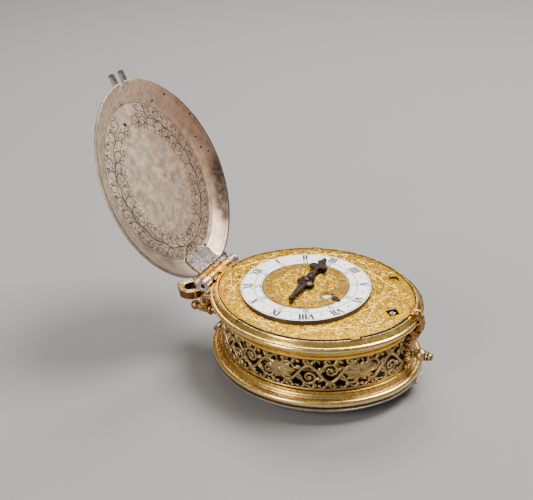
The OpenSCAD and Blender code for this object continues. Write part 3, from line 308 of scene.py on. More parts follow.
# Materials
class Nodes:
    """Short names for building a node tree."""

    def __init__(self, name):
        self.mat = bpy.data.materials.new(name)
        self.mat.use_nodes = True
        self.t = self.mat.node_tree
        self.shader = next(n for n in self.t.nodes if n.type == "BSDF_PRINCIPLED")
        self.coord = self.new("TexCoord").outputs["Object"]

    def put(self, sock, val):
        """Links a socket to another one, or sets its number, vector or colour."""
        if isinstance(val, bpy.types.NodeSocket):
            self.t.links.new(val, sock)
        else:
            sock.default_value = (*val, 1) if sock.type == "RGBA" else val

    def new(self, kind, **inputs):
        n = self.t.nodes.new("ShaderNode" + kind)
        for name, val in inputs.items():
            self.put(n.inputs[name], val)
        return n

    def noise(self, scale, detail, rough=0.55, distort=0.0, stretch=None):
        src = self.coord
        if stretch:
            src = self.new("Mapping", Vector=src, Scale=stretch).outputs["Vector"]
        return self.new("TexNoise", Vector=src, Scale=scale, Detail=detail, Roughness=rough,
                        Distortion=distort).outputs["Fac"]

    def cells(self, scale):
        return self.new("TexVoronoi", Vector=self.coord, Scale=scale).outputs["Distance"]

    def ramp(self, fac, stops):
        n = self.new("ValToRGB", Fac=fac)
        e = n.color_ramp.elements
        while len(e) < len(stops):
            e.new(0.5)
        for el, (pos, col) in zip(e, stops):
            el.position = pos
            el.color = (*col, 1) if isinstance(col, tuple) else (col, col, col, 1)
        return n.outputs["Color"]

    def mix(self, fac, a, b):
        n = self.new("Mix")
        n.data_type = "RGBA"
        for sock, val in (("Factor", fac), (6, a), (7, b)):
            self.put(n.inputs[sock], val)
        return n.outputs[2]

    def math(self, op, a, b):
        n = self.new("Math")
        n.operation = op
        self.put(n.inputs[0], a)
        self.put(n.inputs[1], b)
        return n.outputs[0]

    def add(self, a, b):
        return self.math("ADD", a, b)

    def mul(self, a, b):
        return self.math("MULTIPLY", a, b)

    def bump(self, height, strength, distance):
        return self.new("Bump", Height=height, Strength=strength, Distance=distance).outputs["Normal"]

    def crevice(self, distance):
        n = self.new("AmbientOcclusion", Distance=distance)
        n.samples = 6
        return n.outputs["AO"]

    def axis(self, which, source="Object"):
        return self.new("SeparateXYZ", Vector=self.new("TexCoord").outputs[source]).outputs[which]

    def finish(self, color, rough, normal=None, metallic=1.0):
        for name, val in (("Base Color", color), ("Roughness", rough), ("Metallic", metallic),
                          ("Normal", normal)):
            if val is not None:
                self.put(self.shader.inputs[name], val)
        return self.mat


def metal(name, light, dark, dirt, rough, scale, grain=2600, bump=0.18, crevice=1.2, spots=0.0, worn_sheen=None):
    """Worn metal: two tones in soft patches, dirt in the hollows, fine scratches and dents.

    worn_sheen gives the two heights, in mm, between which the gilding is rubbed and a pale painted highlight
    lies.
    """
    n = Nodes(name)
    patches = n.noise(scale, 6, 0.62, 0.4)
    col = n.mix(n.ramp(patches, [(0.34, 0.0), (0.66, 1.0)]), dark, light)
    fine = n.noise(grain, 3, 0.6)
    col = n.mix(n.ramp(fine, [(0.36, 0.35), (0.62, 0.0)]), col, dark)
    if spots:
        pits = n.cells(scale * 2.2)
        col = n.mix(n.ramp(pits, [(0.05, spots), (0.16, 0.0)]), col, dirt)
    if worn_sheen:
        # rubbed gilding with a painted highlight: a pale colour in patches on the moulding between the two
        # heights
        low, high = (z * 0.02 for z in worn_sheen)
        zone = n.ramp(n.mul(n.axis(Z), 20),
                      [(low - 0.008, 0.0), (low, 0.6), (high, 0.6), (high + 0.008, 0.0)])
        rub_sheen = n.ramp(n.noise(75, 5, 0.6), [(0.36, 0.25), (0.56, 1.0)])
        col = n.mix(n.mul(zone, rub_sheen), col, (0.90, 0.70, 0.38))
    col = n.mix(n.ramp(n.crevice(crevice * MM), [(0.25, 0.85), (0.8, 0.0)]), col, dirt)
    r = n.ramp(n.noise(scale * 2.6, 5, 0.6), [(0.3, rough[0]), (0.7, rough[1])])
    scratches = n.noise(900, 4, 0.7, 0.0, (1.0, 0.12, 1.0))
    height = n.add(n.mul(fine, 0.5), scratches)
    return n.finish(col, r, n.bump(height, bump, 0.03 * MM))


def two_faced(name, top, side, dirt):
    """Bright on its top face, with painted shade on its sides."""
    n = Nodes(name)
    # painted shade: faces that turn sideways take the dark side colour
    col = n.mix(n.ramp(n.axis(Z, "Normal"), [(0.3, 0.0), (0.75, 1.0)]), side, top)
    f = n.noise(420, 5, 0.6)
    col = n.mix(n.ramp(f, [(0.35, 0.7), (0.6, 0.0)]), col, dirt)
    r = n.ramp(n.noise(700, 4), [(0.3, 0.2), (0.7, 0.36)])
    return n.finish(col, r, n.bump(f, 0.3, 0.04 * MM))


def silver_cover(name, tones, shaded):
    """Tarnished silver: warm grey, pinkish bronze towards +Y, cloudy spots; the front one has patches of
    painted shade and a painted dark reflection.
    """
    n = Nodes(name)

    def stain(col, edge, soft, heights, strength, color):
        """Paints a dark patch of shade or reflection where edge rises past 0.5, between heights given in
        units of 0.1 m.
        """
        beyond = n.ramp(edge, [(0.5, 0.0), (0.5 + soft, 1.0)])
        level = n.ramp(n.mul(n.axis(Z), 10), heights)
        return n.mix(n.mul(n.mul(beyond, level), strength), col, color)
    col = n.mix(n.ramp(n.noise(90, 7, 0.6, 0.6), [(0.32, 0.0), (0.68, 1.0)]), *tones)
    pink = n.add(n.mul(n.axis(Y), 22), n.mul(n.noise(55, 5, 0.6, 0.8), 0.5))
    col = n.mix(n.ramp(pink, [(0.3, 0.0), (0.9, 0.85)]), col, (0.56, 0.31, 0.20))
    if shaded:
        # painted dark reflection along one stretch of the border; below it pink tarnish darkened as painted
        # shade to tone down a highlight; painted shade low down on the other side
        edge = n.add(n.add(n.mul(n.axis(Y), 20), n.mul(n.axis(Z), -10)), n.mul(n.noise(160, 4), 0.1))
        col = stain(col, n.add(edge, 0.51), 0.08, [(0.41, 0.0), (0.45, 1.0), (0.64, 1.0), (0.76, 0.0)], 0.9,
                    (0.035, 0.026, 0.022))
        col = stain(col, n.add(n.mul(n.axis(Y), 20), 0.38), 0.18, [(0.38, 1.0), (0.46, 0.0)], 0.9,
                    (0.34, 0.21, 0.17))
        edge = n.add(n.mul(n.axis(Y), -20), n.mul(n.axis(Z), -11.7))
        col = stain(col, n.add(edge, 0.9), 0.22, [(0.34, 1.0), (0.8, 0.0)], 0.9, (0.15, 0.12, 0.105))
    col = n.mix(n.ramp(n.noise(420, 4, 0.7), [(0.42, 0.4), (0.55, 0.0)]), col, (0.33, 0.24, 0.19))
    col = n.mix(n.ramp(n.cells(520), [(0.04, 0.6), (0.1, 0.0)]), col, (0.12, 0.08, 0.06))
    r = n.ramp(n.noise(260, 5, 0.6), [(0.3, 0.42), (0.7, 0.6)])
    height = n.add(n.mul(n.noise(1800, 3, 0.6), 0.25), n.mul(n.noise(120, 3, 0.5), 1.2))
    return n.finish(col, r, n.bump(height, 0.22, 0.12 * MM))


def frosted_ring(name):
    """Matt white silver with faint tints."""
    n = Nodes(name)
    col = n.ramp(n.noise(130, 4, 0.6, 0.5), [(0.3, (0.74, 0.86, 0.88)), (0.48, (0.98, 0.94, 0.87)),
                                             (0.7, (0.95, 0.84, 0.84))])
    col = n.mix(n.ramp(n.noise(700, 4, 0.7), [(0.38, 0.35), (0.5, 0.0)]), col, (0.52, 0.52, 0.53))
    # painted shade on the turned edge, by its facing: the edge dark, the face bright
    col = n.mix(n.ramp(n.axis(Z, "Normal"), [(0.3, 1.0), (0.8, 0.0)]), col, (0.10, 0.07, 0.06))
    r = n.ramp(n.noise(500, 4), [(0.3, 0.38), (0.7, 0.55)])
    return n.finish(col, r, n.bump(n.noise(2200, 3), 0.12, 0.02 * MM), metallic=0.35)


def plain(name, color, rough, metallic, vary=0.25, scale=800):
    """A small-detail finish: one colour with a little mottling."""
    n = Nodes(name)
    dark = tuple(c * (1 - vary) for c in color)
    f = n.noise(scale, 4, 0.6)
    col = n.mix(n.ramp(f, [(0.35, 0.0), (0.65, 1.0)]), dark, color)
    r = n.ramp(f, [(0.3, rough), (0.7, min(1, rough + 0.12))])
    return n.finish(col, r, n.bump(f, 0.1, 0.02 * MM), metallic=metallic)


GILT = metal("gilt", (0.93, 0.60, 0.14), (0.62, 0.34, 0.06), (0.12, 0.05, 0.01), (0.16, 0.32), 180)
GILT_BAND = metal("gilt_band", (0.68, 0.50, 0.23), (0.38, 0.26, 0.10), (0.05, 0.028, 0.01), (0.3, 0.48), 300,
                  crevice=1.0)
GILT_DIAL = metal("gilt_dial", (0.74, 0.425, 0.002), (0.40, 0.19, 0.002), (0.22, 0.10, 0.01),
                  (0.22, 0.38), 260, 1300, bump=0.42, crevice=0.6)
PENDANT_GILT = two_faced("pendant_gilt", (0.95, 0.66, 0.24), (0.34, 0.15, 0.06), (0.12, 0.05, 0.02))
ROSE_GILT = metal("rose_gilt", (0.70, 0.47, 0.21), (0.36, 0.20, 0.08), (0.06, 0.025, 0.01), (0.24, 0.42), 330)
LOWER_GILT = metal("lower_gilt", (0.98, 0.67, 0.18), (0.80, 0.50, 0.12), (0.10, 0.05, 0.015),
                   (0.2, 0.36), 240, worn_sheen=(7.4, 10.4))
UPPER_GILT = metal("upper_gilt", (0.97, 0.66, 0.16), (0.74, 0.45, 0.09), (0.12, 0.05, 0.01),
                   (0.16, 0.32), 180, worn_sheen=(31.7, 33.0))
ROSE_DARK = metal("rose_dark", (0.15, 0.06, 0.03), (0.06, 0.025, 0.015), (0.02, 0.01, 0.006),
                  (0.35, 0.5), 400)
STRAP_GILT = metal("strap_gilt", (0.58, 0.36, 0.14), (0.27, 0.14, 0.05), (0.05, 0.025, 0.01),
                   (0.24, 0.42), 380)
SILVER_HINGE = metal("silver_hinge", (0.86, 0.79, 0.74), (0.50, 0.38, 0.33), (0.07, 0.045, 0.035),
                     (0.16, 0.34), 420)
BRIGHT_SILVER = metal("bright_silver", (0.86, 0.84, 0.82), (0.62, 0.58, 0.55), (0.14, 0.1, 0.09),
                      (0.18, 0.34), 300)
SILVER_FRONT = silver_cover("silver_front", ((0.82, 0.64, 0.48), (0.94, 0.78, 0.60)), True)
SILVER_BACK = silver_cover("silver_back", ((0.40, 0.34, 0.29), (0.58, 0.51, 0.45)), False)
RING_SILVER = frosted_ring("ring_silver")
MOON = plain("moon", (0.86, 0.72, 0.68), 0.35, 0.6, 0.2, 500)
DARK_STEEL = metal("dark_steel", (0.062, 0.046, 0.038), (0.026, 0.019, 0.016), (0.02, 0.015, 0.012),
                   (0.26, 0.45), 500, spots=0.3)
BLUED = metal("blued_steel", (0.10, 0.14, 0.26), (0.045, 0.05, 0.085), (0.02, 0.02, 0.02), (0.2, 0.35), 400)
BRASS = metal("movement_brass", (0.84, 0.62, 0.28), (0.66, 0.44, 0.16), (0.16, 0.09, 0.03), (0.22, 0.38), 200)
BELL_METAL = metal("bell_metal", (0.46, 0.36, 0.22), (0.28, 0.21, 0.12), (0.07, 0.05, 0.03),
                   (0.34, 0.48), 150)
GUT = plain("gut", (0.62, 0.45, 0.24), 0.55, 0.0)
INK = plain("black_wax", (0.022, 0.019, 0.017), 0.5, 0.0)
# engraved lines; also painted shadow round the moon's aperture
CUT_GOLD_AND_SHADE = plain("cut_gold_and_shade", (0.11, 0.05, 0.008), 0.5, 0.0)
CUT_GOLD_LIGHT = plain("cut_gold_light", (1.0, 0.64, 0.08), 0.36, 1.0, 0.12)
# engraved lines; also painted shade along the lid's inner step
CUT_SILVER_AND_SHADE = plain("cut_silver_and_shade", (0.035, 0.022, 0.016), 0.6, 0.0)
# painted shade: the dark of holes, gaps and sunk ends
PAINTED_SHADE = plain("painted_shade", (0.012, 0.01, 0.009), 0.8, 0.0)

SLOT_MATERIAL = {"gilt_case": GILT, "rose_gilt": ROSE_GILT, "silver": SILVER_FRONT, "bell_metal": BELL_METAL,
                 "gilt_dial": GILT_DIAL, "dark_steel": DARK_STEEL, "blued_steel": BLUED,
                 "movement_brass": BRASS, "gut": GUT}
NODE_MATERIAL = {"chapter_ring": RING_SILVER, "moon_disc": MOON, "front_cover_hinge": SILVER_HINGE,
                 "back_cover_hinge": SILVER_HINGE, "front_hinge_pin": SILVER_HINGE,
                 "back_hinge_pin": SILVER_HINGE, "front_clasp": SILVER_HINGE, "finial": GILT_BAND,
                 "silent_lever": SILVER_HINGE, "lower_moulding": LOWER_GILT, "upper_moulding": UPPER_GILT,
                 "back_cover": SILVER_BACK, "pendant_loop": PENDANT_GILT, "case_band": GILT_BAND,
                 "case_hinge": GILT, "back_case_hinge": GILT, "catch_strap": STRAP_GILT}


def dress_solids():
    """Every CAD piece takes its node's own finish, or that of its slot."""
    for part in frame["record"]["subparts"]:
        materials = frame["nodes"][part["node"]].data.materials
        materials.clear()
        materials.append(NODE_MATERIAL.get(part["node"], SLOT_MATERIAL[part["material_slot"]]))


# Pierced band: a vine that undulates round the case between two borders
BAND_MID = (BAND_LOW + BAND_HIGH) / 2
BAND_T = 1.2
BAND_EDGE = 0.95
BAYS = 28
STEM_W, STEM_SWING = 1.0, 3.5
LEAF_BACK = -BAND_T + 0.2
# Two broad leaf sprays on the near side: arc length and leaf length
SPRAYS = ((0.75 * oval_len(BAND_D) + 1.0, 6.6), (oval_len(BAND_D) - 25.0, 7.4))


def vine_band():
    rng = random.Random(11)
    b = Build()
    length = oval_len(BAND_D)
    bay = length / BAYS
    steps = 240
    for z0, z1 in ((BAND_LOW, BAND_LOW + BAND_EDGE), (BAND_HIGH - BAND_EDGE, BAND_HIGH)):
        verts = []
        for i in range(steps):
            u = length * i / steps
            verts += [on_band(u, z0, -BAND_T), on_band(u, z1, -BAND_T), on_band(u, z1, 0), on_band(u, z0, 0)]
        b.add(verts, skin(steps, 4, loop=True))

    def stem(u):
        return u, BAND_MID + STEM_SWING * sin(pi * u / bay)

    def frond(root, ang, size, width, top, bend=0.0, lobes=2):
        leaf(b, on_band, *root, ang, size, width, LEAF_BACK, top, bend=bend, lobes=lobes)
    steps = 20 * BAYS
    wave = [stem(length * i / steps) for i in range(steps)]
    strap(b, on_band, wave, STEM_W, -BAND_T + 0.1, 0.0, closed=True)
    for i in range(BAYS):
        s = 1 if i % 2 == 0 else -1
        u0 = i * bay
        cu, cv = u0 + 0.52 * bay, BAND_MID - s * 1.55
        r = 2.75 + rng.uniform(-0.15, 0.15)
        tendril = curl((cu, cv), r, s * pi, 1.45, s, 0.35, 22)
        lead = [stem(u0 - 0.12 * bay), (u0 + 0.02 * bay, BAND_MID - s * 0.5)]
        strap(b, on_band, lead + tendril, lambda t: 0.95 - 0.3 * t, -BAND_T + 0.15, -0.02)
        petals = rng.choice((3, 5))
        blob(b, on_band, tendril[-1], 1.15, LEAF_BACK, 0.12, 20,
             shape=lambda a, k=petals: 0.78 + 0.25 * cos(k * a))
        # leaves that tie the curl to the borders and fill the corners
        for ang, size in ((-1.15, 3.0), (-2.2, 2.6), (-0.25, 2.3)):
            a = s * ang
            frond((cu + (r - 0.2) * cos(a), cv + (r - 0.2) * sin(a)), a + s * 0.5,
                  size + rng.uniform(-0.3, 0.3), 1.7, 0.1, -s * 0.7)
        u, v = stem(u0 + 0.5 * bay)
        for side in (-1, 1):
            frond((u + side * 0.4, v), pi / 2 * s + side * -s * 0.75, 2.9, 1.6, 0.08, side * s * 0.5)
        frond((u, v + s * 0.2), pi / 2 * s, 2.4, 1.3, 0.12, lobes=0)
        frond(stem(u0 + 0.9 * bay), s * 0.9, 3.0, 1.5, 0.08, -s * 0.4)
        frond(stem(u0 + 0.18 * bay), s * 2.3, 2.6, 1.5, 0.08, s * 0.4)
        # sprigs that grow from the borders
        for share, up in ((0.12, 1), (0.37, -1), (0.62, 1), (0.87, -1)):
            edge = BAND_LOW + BAND_EDGE if up > 0 else BAND_HIGH - BAND_EDGE
            for tilt in (-0.75, 0.75):
                frond((u0 + share * bay, edge - 0.15 * up), up * (pi / 2 + tilt), rng.uniform(2.0, 2.7),
                      1.15, 0.02, tilt * 0.6)
        # berries in the gaps
        for share, dv in ((0.02, 5.2), (0.98, -5.2)):
            blob(b, on_band, (u0 + share * bay, BAND_MID + s * dv), 0.62, -BAND_T + 0.3, 0.05, 9)
    for u, size in SPRAYS:
        fan = ((0.05, size, 4.6), (0.62, 0.86 * size, 3.8), (1.2, 4.9, 3.2), (-0.55, 0.8 * size, 3.6),
               (-1.15, 4.8, 3.0))
        for side in (-1, 1):
            for k, (ang, reach, width) in enumerate(fan):
                frond((u, BAND_MID), ang if side > 0 else pi - ang, reach, width, 0.22 - 0.02 * k,
                      side * 0.25, 3)
        blob(b, on_band, (u, BAND_MID), 1.7, -BAND_T, 0.42, 24, shape=lambda a: 0.86 + 0.14 * cos(6 * a))
    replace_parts(b.make("pierced_vine_band", "case", "gilt_case", [GILT_BAND]), "case_band")


def milled(name, body, slot, mat, d, z, pitch, size, tilt, out):
    """Short slanted ridges along the oval of offset d, at height z."""
    b = Build()
    length = oval_len(d)
    count = int(length / pitch)
    w, h = size
    for i in range(count):
        x, y, nx, ny = oval_at(length * i / count, d)
        verts = []
        for du, dv, dn in ((-w, -h, 0), (w * 0.2, -h, 0), (w, h, 0), (-w * 0.2, h, 0), (0, 0, out)):
            du += tilt * dv
            verts.append((x - ny * du + nx * dn, y + nx * du + ny * dn, z + dv))
        b.add(verts, [(0, 1, 4), (1, 2, 4), (2, 3, 4), (3, 0, 4)])
    b.make(name, body, slot, [mat], smooth=False)


# Engraved foliage, raised by a hair so that it shows
CUT_H, CUT_BASE = 0.05, -0.02


def filled_foliage(b, place, inside, reach, seed, radii, width, tries, spacing):
    """Curls packed into an area, with leaves in the gaps. inside(u, v) is the distance to the area's edge."""
    rng = random.Random(seed)
    placed = []
    for _ in range(tries):
        u, v = rng.uniform(-reach[0], reach[0]), rng.uniform(-reach[1], reach[1])
        room = inside(u, v)
        for cu, cv, cr in placed:
            if room < radii[0]:
                break
            room = min(room, hypot(u - cu, v - cv) - cr - spacing)
        if room >= radii[0]:
            placed.append((u, v, min(room, radii[1])))
    for k, (u, v, r) in enumerate(placed):
        hand = 1 if k % 2 else -1
        a0 = rng.uniform(0, 2 * pi)
        if r > 1.7 * radii[0]:
            ribbon(b, place, curl((u, v), 0.95 * r, a0, 1.6, hand, 0.1 * r, 24), width, CUT_H)
            ribbon(b, place, curl((u, v), 0.72 * r, a0 + 0.25, 1.1, hand, 0.1 * r, 16), 0.8 * width,
                   0.9 * CUT_H, 1)
            for j in range(5):
                a = a0 + hand * (j * 1.2 + 0.6)
                leaf(b, place, u + r * 0.8 * cos(a), v + r * 0.8 * sin(a), a + hand * 0.9, 0.55 * r, 0.3 * r,
                     CUT_BASE, CUT_H, j % 2)
            blob(b, place, (u, v), 0.2 * r, CUT_BASE, 1.3 * CUT_H, 8, 1)
        else:
            for j in range(3):
                leaf(b, place, u, v, a0 + hand * j * 2.1, 1.05 * r, 0.62 * r, CUT_BASE, CUT_H, j % 2, 0.4)


def dial_plate_foliage():
    b = Build()
    place = on_level(DIAL_Z)

    def inside(u, v):
        ring = hypot(u - DIAL_C[0], v - DIAL_C[1]) - RING_OUT - 0.5
        edge = -oval_offset(u, v) - 2.1
        diamond = abs(u - DIAMOND_C[0]) + abs(v - DIAMOND_C[1]) - 4.2
        crescent = hypot(u - CRESCENT_C[0], v - CRESCENT_C[1]) - 2.4
        return min(ring, edge, diamond, crescent)
    # long stems that sweep out from the chapter ring, each with a cut line on both sides
    stems, steps = 14, 39
    for k in range(stems):
        turn = 1 if k % 2 else -1
        stem = []
        for i in range(steps + 1):
            t = i / steps
            r = RING_OUT + 1 + 10.5 * t ** 0.8
            a = 2 * pi * k / stems + 0.2 + turn * 0.62 * sin(2.4 * t)
            u, v = DIAL_C[0] + r * cos(a), DIAL_C[1] + r * sin(a)
            if inside(u, v) < 0.3:
                break
            stem.append((u, v))
        if len(stem) > 5:
            ribbon(b, place, stem, lambda t: 0.62 - 0.3 * t, 0.07, 1)
            for off in (-0.42, 0.42):
                cut = [(u - tv * off, v + tu * off) for (u, v), (tu, tv) in zip(stem, tangents(stem))]
                ribbon(b, place, cut, 0.2, CUT_H)
    filled_foliage(b, place, inside, (39, 33.5), 5, (0.6, 3.3), 0.36, 13000, 0.18)
    ribbon(b, place, oval_points(-1.75, 200), 0.28, CUT_H, closed=True)
    b.make("dial_plate_engraving", "movement", "gilt_dial", [CUT_GOLD_AND_SHADE, CUT_GOLD_LIGHT])


def lunar_dial_engraving():
    b = Build()
    place = on_level(LUNAR_Z, DIAL_C)
    moon = (MOON_R * cos(MOON_DIR), MOON_R * sin(MOON_DIR))

    def inside(u, v):
        r = hypot(u, v)
        return min(r - 3.6, 13.2 - r, hypot(u - moon[0], v - moon[1]) - MOON_HOLE_R - 0.1)
    filled_foliage(b, place, inside, (13, 13), 8, (0.45, 2.5), 0.26, 3600, 0.12)
    for r in (13.4, 13.8, 16.6):
        ribbon(b, place, circle((0, 0), r, 120), 0.2, 0.04, closed=True)
    # painted shadow: a dark ring round the moon's aperture
    ribbon(b, place, circle(moon, MOON_HOLE_R, 40), 0.5, CUT_H, closed=True)
    b.make("lunar_dial_engraving", "lunar_dial", "gilt_dial", [CUT_GOLD_AND_SHADE, CUT_GOLD_LIGHT])


# Numerals as pen strokes in a box 1 high; a Roman letter has its width and its strokes as (points, weight)
SERIFS_UP = [(((-0.4, 1), (-0.16, 1)), 0.4), (((0.16, 1), (0.4, 1)), 0.4)]
ROMAN = {
    "I": (0.34, [(((0, 0), (0, 1)), 1.0), (((-0.12, 0), (0.12, 0)), 0.4), (((-0.12, 1), (0.12, 1)), 0.4)]),
    "V": (0.74, [(((-0.28, 1), (0, 0)), 1.0), (((0.28, 1), (0, 0)), 0.45)] + SERIFS_UP),
    "X": (0.74, [(((-0.28, 1), (0.28, 0)), 1.0), (((0.28, 1), (-0.28, 0)), 0.45)] + SERIFS_UP
          + [(((-0.4, 0), (-0.16, 0)), 0.4), (((0.16, 0), (0.4, 0)), 0.4)]),
}
HOURS = ("I", "II", "III", "IIII", "V", "VI", "VII", "VIII", "IX", "X", "XI", "XII")


def bow(cx, cy, rx, ry, a0, a1, n=10):
    angles = [radians(a0 + (a1 - a0) * i / n) for i in range(n + 1)]
    return tuple((cx + rx * cos(a), cy + ry * sin(a)) for a in angles)


DIGITS = {
    "0": [bow(0, 0.5, 0.25, 0.5, 0, 360, 16)],
    "1": [((-0.14, 0.78), (0.02, 1), (0.02, 0))],
    "2": [bow(0, 0.74, 0.24, 0.26, 160, -40) + ((-0.26, 0),), ((-0.26, 0), (0.27, 0))],
    "3": [bow(-0.03, 0.75, 0.23, 0.25, 140, -90), bow(-0.03, 0.26, 0.26, 0.26, 90, -150)],
    "4": [((0.1, 0), (0.1, 1), (-0.28, 0.32), (0.28, 0.32))],
    "5": [((0.22, 1), (-0.18, 1), (-0.2, 0.56)), bow(-0.04, 0.3, 0.27, 0.3, 120, -150)],
    "6": [bow(0, 0.28, 0.25, 0.28, 0, 360, 14), bow(0.25, 0.42, 0.5, 0.58, 180, 100, 8)],
    "7": [((-0.24, 1), (0.26, 1), (-0.06, 0))],
    "8": [bow(0, 0.76, 0.2, 0.24, 0, 360, 12), bow(0, 0.26, 0.26, 0.26, 0, 360, 14)],
    "9": [bow(0, 0.72, 0.25, 0.28, 0, 360, 14), bow(-0.25, 0.58, 0.5, 0.58, 0, -80, 8)],
}
HOUR_R, HOUR_H = 20.9, 3.3
HALF_HOUR_R = 22.4
SMALL_HOUR_R = 17.75
TICK_R = 20.1
DATE_R = 14.45
LUNATION = 29.5


def radial_place(z, angle, r0):
    """Upright writing on the dial whose top points outwards; u runs clockwise."""
    ca, sa = cos(angle), sin(angle)

    def place(u, v, h):
        r = r0 + v
        return DIAL_C[0] + r * ca + u * sa, DIAL_C[1] + r * sa - u * ca, z + h
    return place


def stroke(b, place, pts, w, h=0.03):
    ribbon(b, place, pts, w, h, base=0.004, taper=False)


def number(b, place, value, step, width, height, weight):
    """A number centred on u = 0, its digits a step apart."""
    text = str(value)
    for k, ch in enumerate(text):
        left = (k - (len(text) - 1) / 2) * step
        for pts in DIGITS[ch]:
            stroke(b, place, [(left + u * width, v * height) for u, v in pts], weight)


def chapter_numerals():
    b = Build()
    for i, word in enumerate(HOURS):
        angle = pi - radians(30) * (i + 1) + DIAL_TURN
        place = radial_place(RING_Z, angle, HOUR_R)
        x = -sum(ROMAN[ch][0] for ch in word) * HOUR_H / 2
        for ch in word:
            width, strokes = ROMAN[ch]
            for pts, weight in strokes:
                stroke(b, place, [(x + width * HOUR_H / 2 + u * HOUR_H, v * HOUR_H) for u, v in pts],
                       0.74 * weight + 0.14)
            x += width * HOUR_H
        blob(b, radial_place(RING_Z, angle + radians(15), HALF_HOUR_R), (0, 0), 0.5, 0.0, 0.03, 4)
        number(b, radial_place(RING_Z, angle, SMALL_HOUR_R), 13 + i, 1.15, 1.7, 1.8, 0.38)
    for r, w in ((24.75, 0.22), (TICK_R, 0.24), (17.45, 0.2)):
        ribbon(b, on_level(RING_Z, DIAL_C), circle((0, 0), r, 144), w, 0.025, base=0.004, closed=True)
    quarters = 48
    for k in range(quarters):
        stroke(b, radial_place(RING_Z, 2 * pi * k / quarters + DIAL_TURN, TICK_R), [(0, 0), (0, 0.5)], 0.2)
    b.make("chapter_ring_numerals", "movement", "dark_steel", [INK])


def date_track():
    b = Build()
    for i in range(29):
        angle = MOON_DIR - 2 * pi * i / LUNATION
        number(b, radial_place(LUNAR_Z, angle, DATE_R), i + 1, 0.95, 1.5, 1.5, 0.32)
        stroke(b, radial_place(LUNAR_Z, angle - pi / LUNATION, 14.0), [(0, 0), (0, 2.5)], 0.16)
    for r in (13.7, 16.75):
        ribbon(b, on_level(LUNAR_Z, DIAL_C), circle((0, 0), r, 120), 0.26, 0.03, base=0.004, closed=True)
    b.make("date_numerals", "lunar_dial", "dark_steel", [INK])


# Gap between dial plate and rim: offsets of its edges, and arc lengths of its lugs, slit and catch
PLATE_EDGE_D, RIM_EDGE_D = -1.15, -0.6
HALF_WAY = oval_len(0) / 2
LUGS, LUG_REACH = (-28.5, HALF_WAY - 44.1), 1.6
SLIT = -HALF_WAY + 40.8
HINGE_REACH, CATCH_S = 8, -4


def plate_gap():
    """Painted shadow in the gap between the dial plate and the rim, and round the lugs of the plate."""
    rim, plate = Build(), Build()

    def on_rim(u, v, h):
        x, y, nx, ny = oval_at(u, 0)
        return x + nx * v, y + ny * v, DIAL_Z + h

    def on_edge(u, v, h):
        return on_rim(u, PLATE_EDGE_D + h, v)

    # painted shadow strips on the plate's edge, and on the rim beside the gap
    def dirt(s0, s1, wide=False):
        n = max(4, int(abs(s1 - s0) / 1.2))
        along = [s0 + (s1 - s0) * i / n for i in range(n + 1)]
        stroke(plate, on_edge, [(u, -0.4) for u in along], 0.78)
        if wide:
            stroke(plate, on_rim, [(u, PLATE_EDGE_D - 0.17) for u in along], 0.34, 0.045)
            stroke(rim, on_rim, [(u, RIM_EDGE_D + 0.14) for u in along], 0.26, 0.045)
    dirt(CATCH_S, LUGS[0] + LUG_REACH, True)
    dirt(LUGS[0] - LUG_REACH, SLIT + 0.4, True)
    dirt(SLIT - 0.2, -HALF_WAY + HINGE_REACH)
    dirt(HALF_WAY - HINGE_REACH, LUGS[1] + LUG_REACH)
    dirt(LUGS[1] - LUG_REACH, CATCH_S)
    # painted shadow round the lugs and in the slit
    for lug in LUGS:
        stroke(rim, on_rim, [(lug + 1.98, -0.58), (lug + 1.98, 0.3)], 0.54, 0.05)
        stroke(rim, on_rim, [(lug + 2.2, 0.26), (lug - 1.9, 0.26)], 0.34, 0.05)
        stroke(rim, on_rim, [(lug - 1.82, -0.58), (lug - 1.82, 0.3)], 0.2, 0.05)
    stroke(rim, on_rim, [(SLIT, -0.58), (SLIT, 0.15)], 0.8, 0.05)
    rim.make("rim_gap_shadow", "case", "gilt_case", [PAINTED_SHADE])
    plate.make("plate_gap_shadow", "movement", "gilt_dial", [PAINTED_SHADE])


# Covers: the border rises from the rim to the floor in four straight steps
COVER_BORDER, COVER_LIP, COVER_T = 7.6, 0.8, 0.92
BACK_RIM_Z, BACK_RIM_D, BACK_DEPTH = 7.3, 2.2, 6.38
WREATH_D = -11.6
HOOK_GAP = 3.0
# Holes drilled in the front cover: place on the shut cover and radius
DRILLED = ((35.7, -7.2, 0.36), (33.7, -0.9, 0.4), (29.8, 21.9, 0.45), (29.7, 16.4, 0.5), (17.8, 31.2, 0.42),
           (15.2, 32.6, 0.36), (7.9, 31.2, 0.4), (2.8, 31.6, 0.42), (0.0, 33.6, 0.4), (26.2, -3.9, 0.85),
           (24.6, 27.0, 0.3), (-8.0, 31.8, 0.3), (34.6, 10.0, 0.3))


def border_rise(t):
    """Height of a cover's border as a share of its depth."""
    steps = 4

    def curve(q):
        return 1 - (1 - q) ** 1.6
    t = min(1.0, max(0.0, t)) * steps
    k = min(steps - 1, int(t))
    return curve(k / steps) + (t - k) * (curve((k + 1) / steps) - curve(k / steps))


def on_cover_outside(u, v, h):
    return opened((u, v, COVER_FLOOR_Z + COVER_T + h))


def on_cover_inside(u, v, h):
    rise = border_rise((COVER_RIM_D - COVER_LIP - oval_offset(u, v)) / COVER_BORDER)
    return opened((u, v, COVER_RIM_Z + COVER_DEPTH * rise - h))


def on_cover_rim(u, v, h):
    return opened((u, v, COVER_RIM_Z - h))


def on_back_slope(u, v, h):
    rise = border_rise((BACK_RIM_D - oval_offset(u, v)) / COVER_BORDER)
    return u, v, BACK_RIM_Z - COVER_T - BACK_DEPTH * rise - h


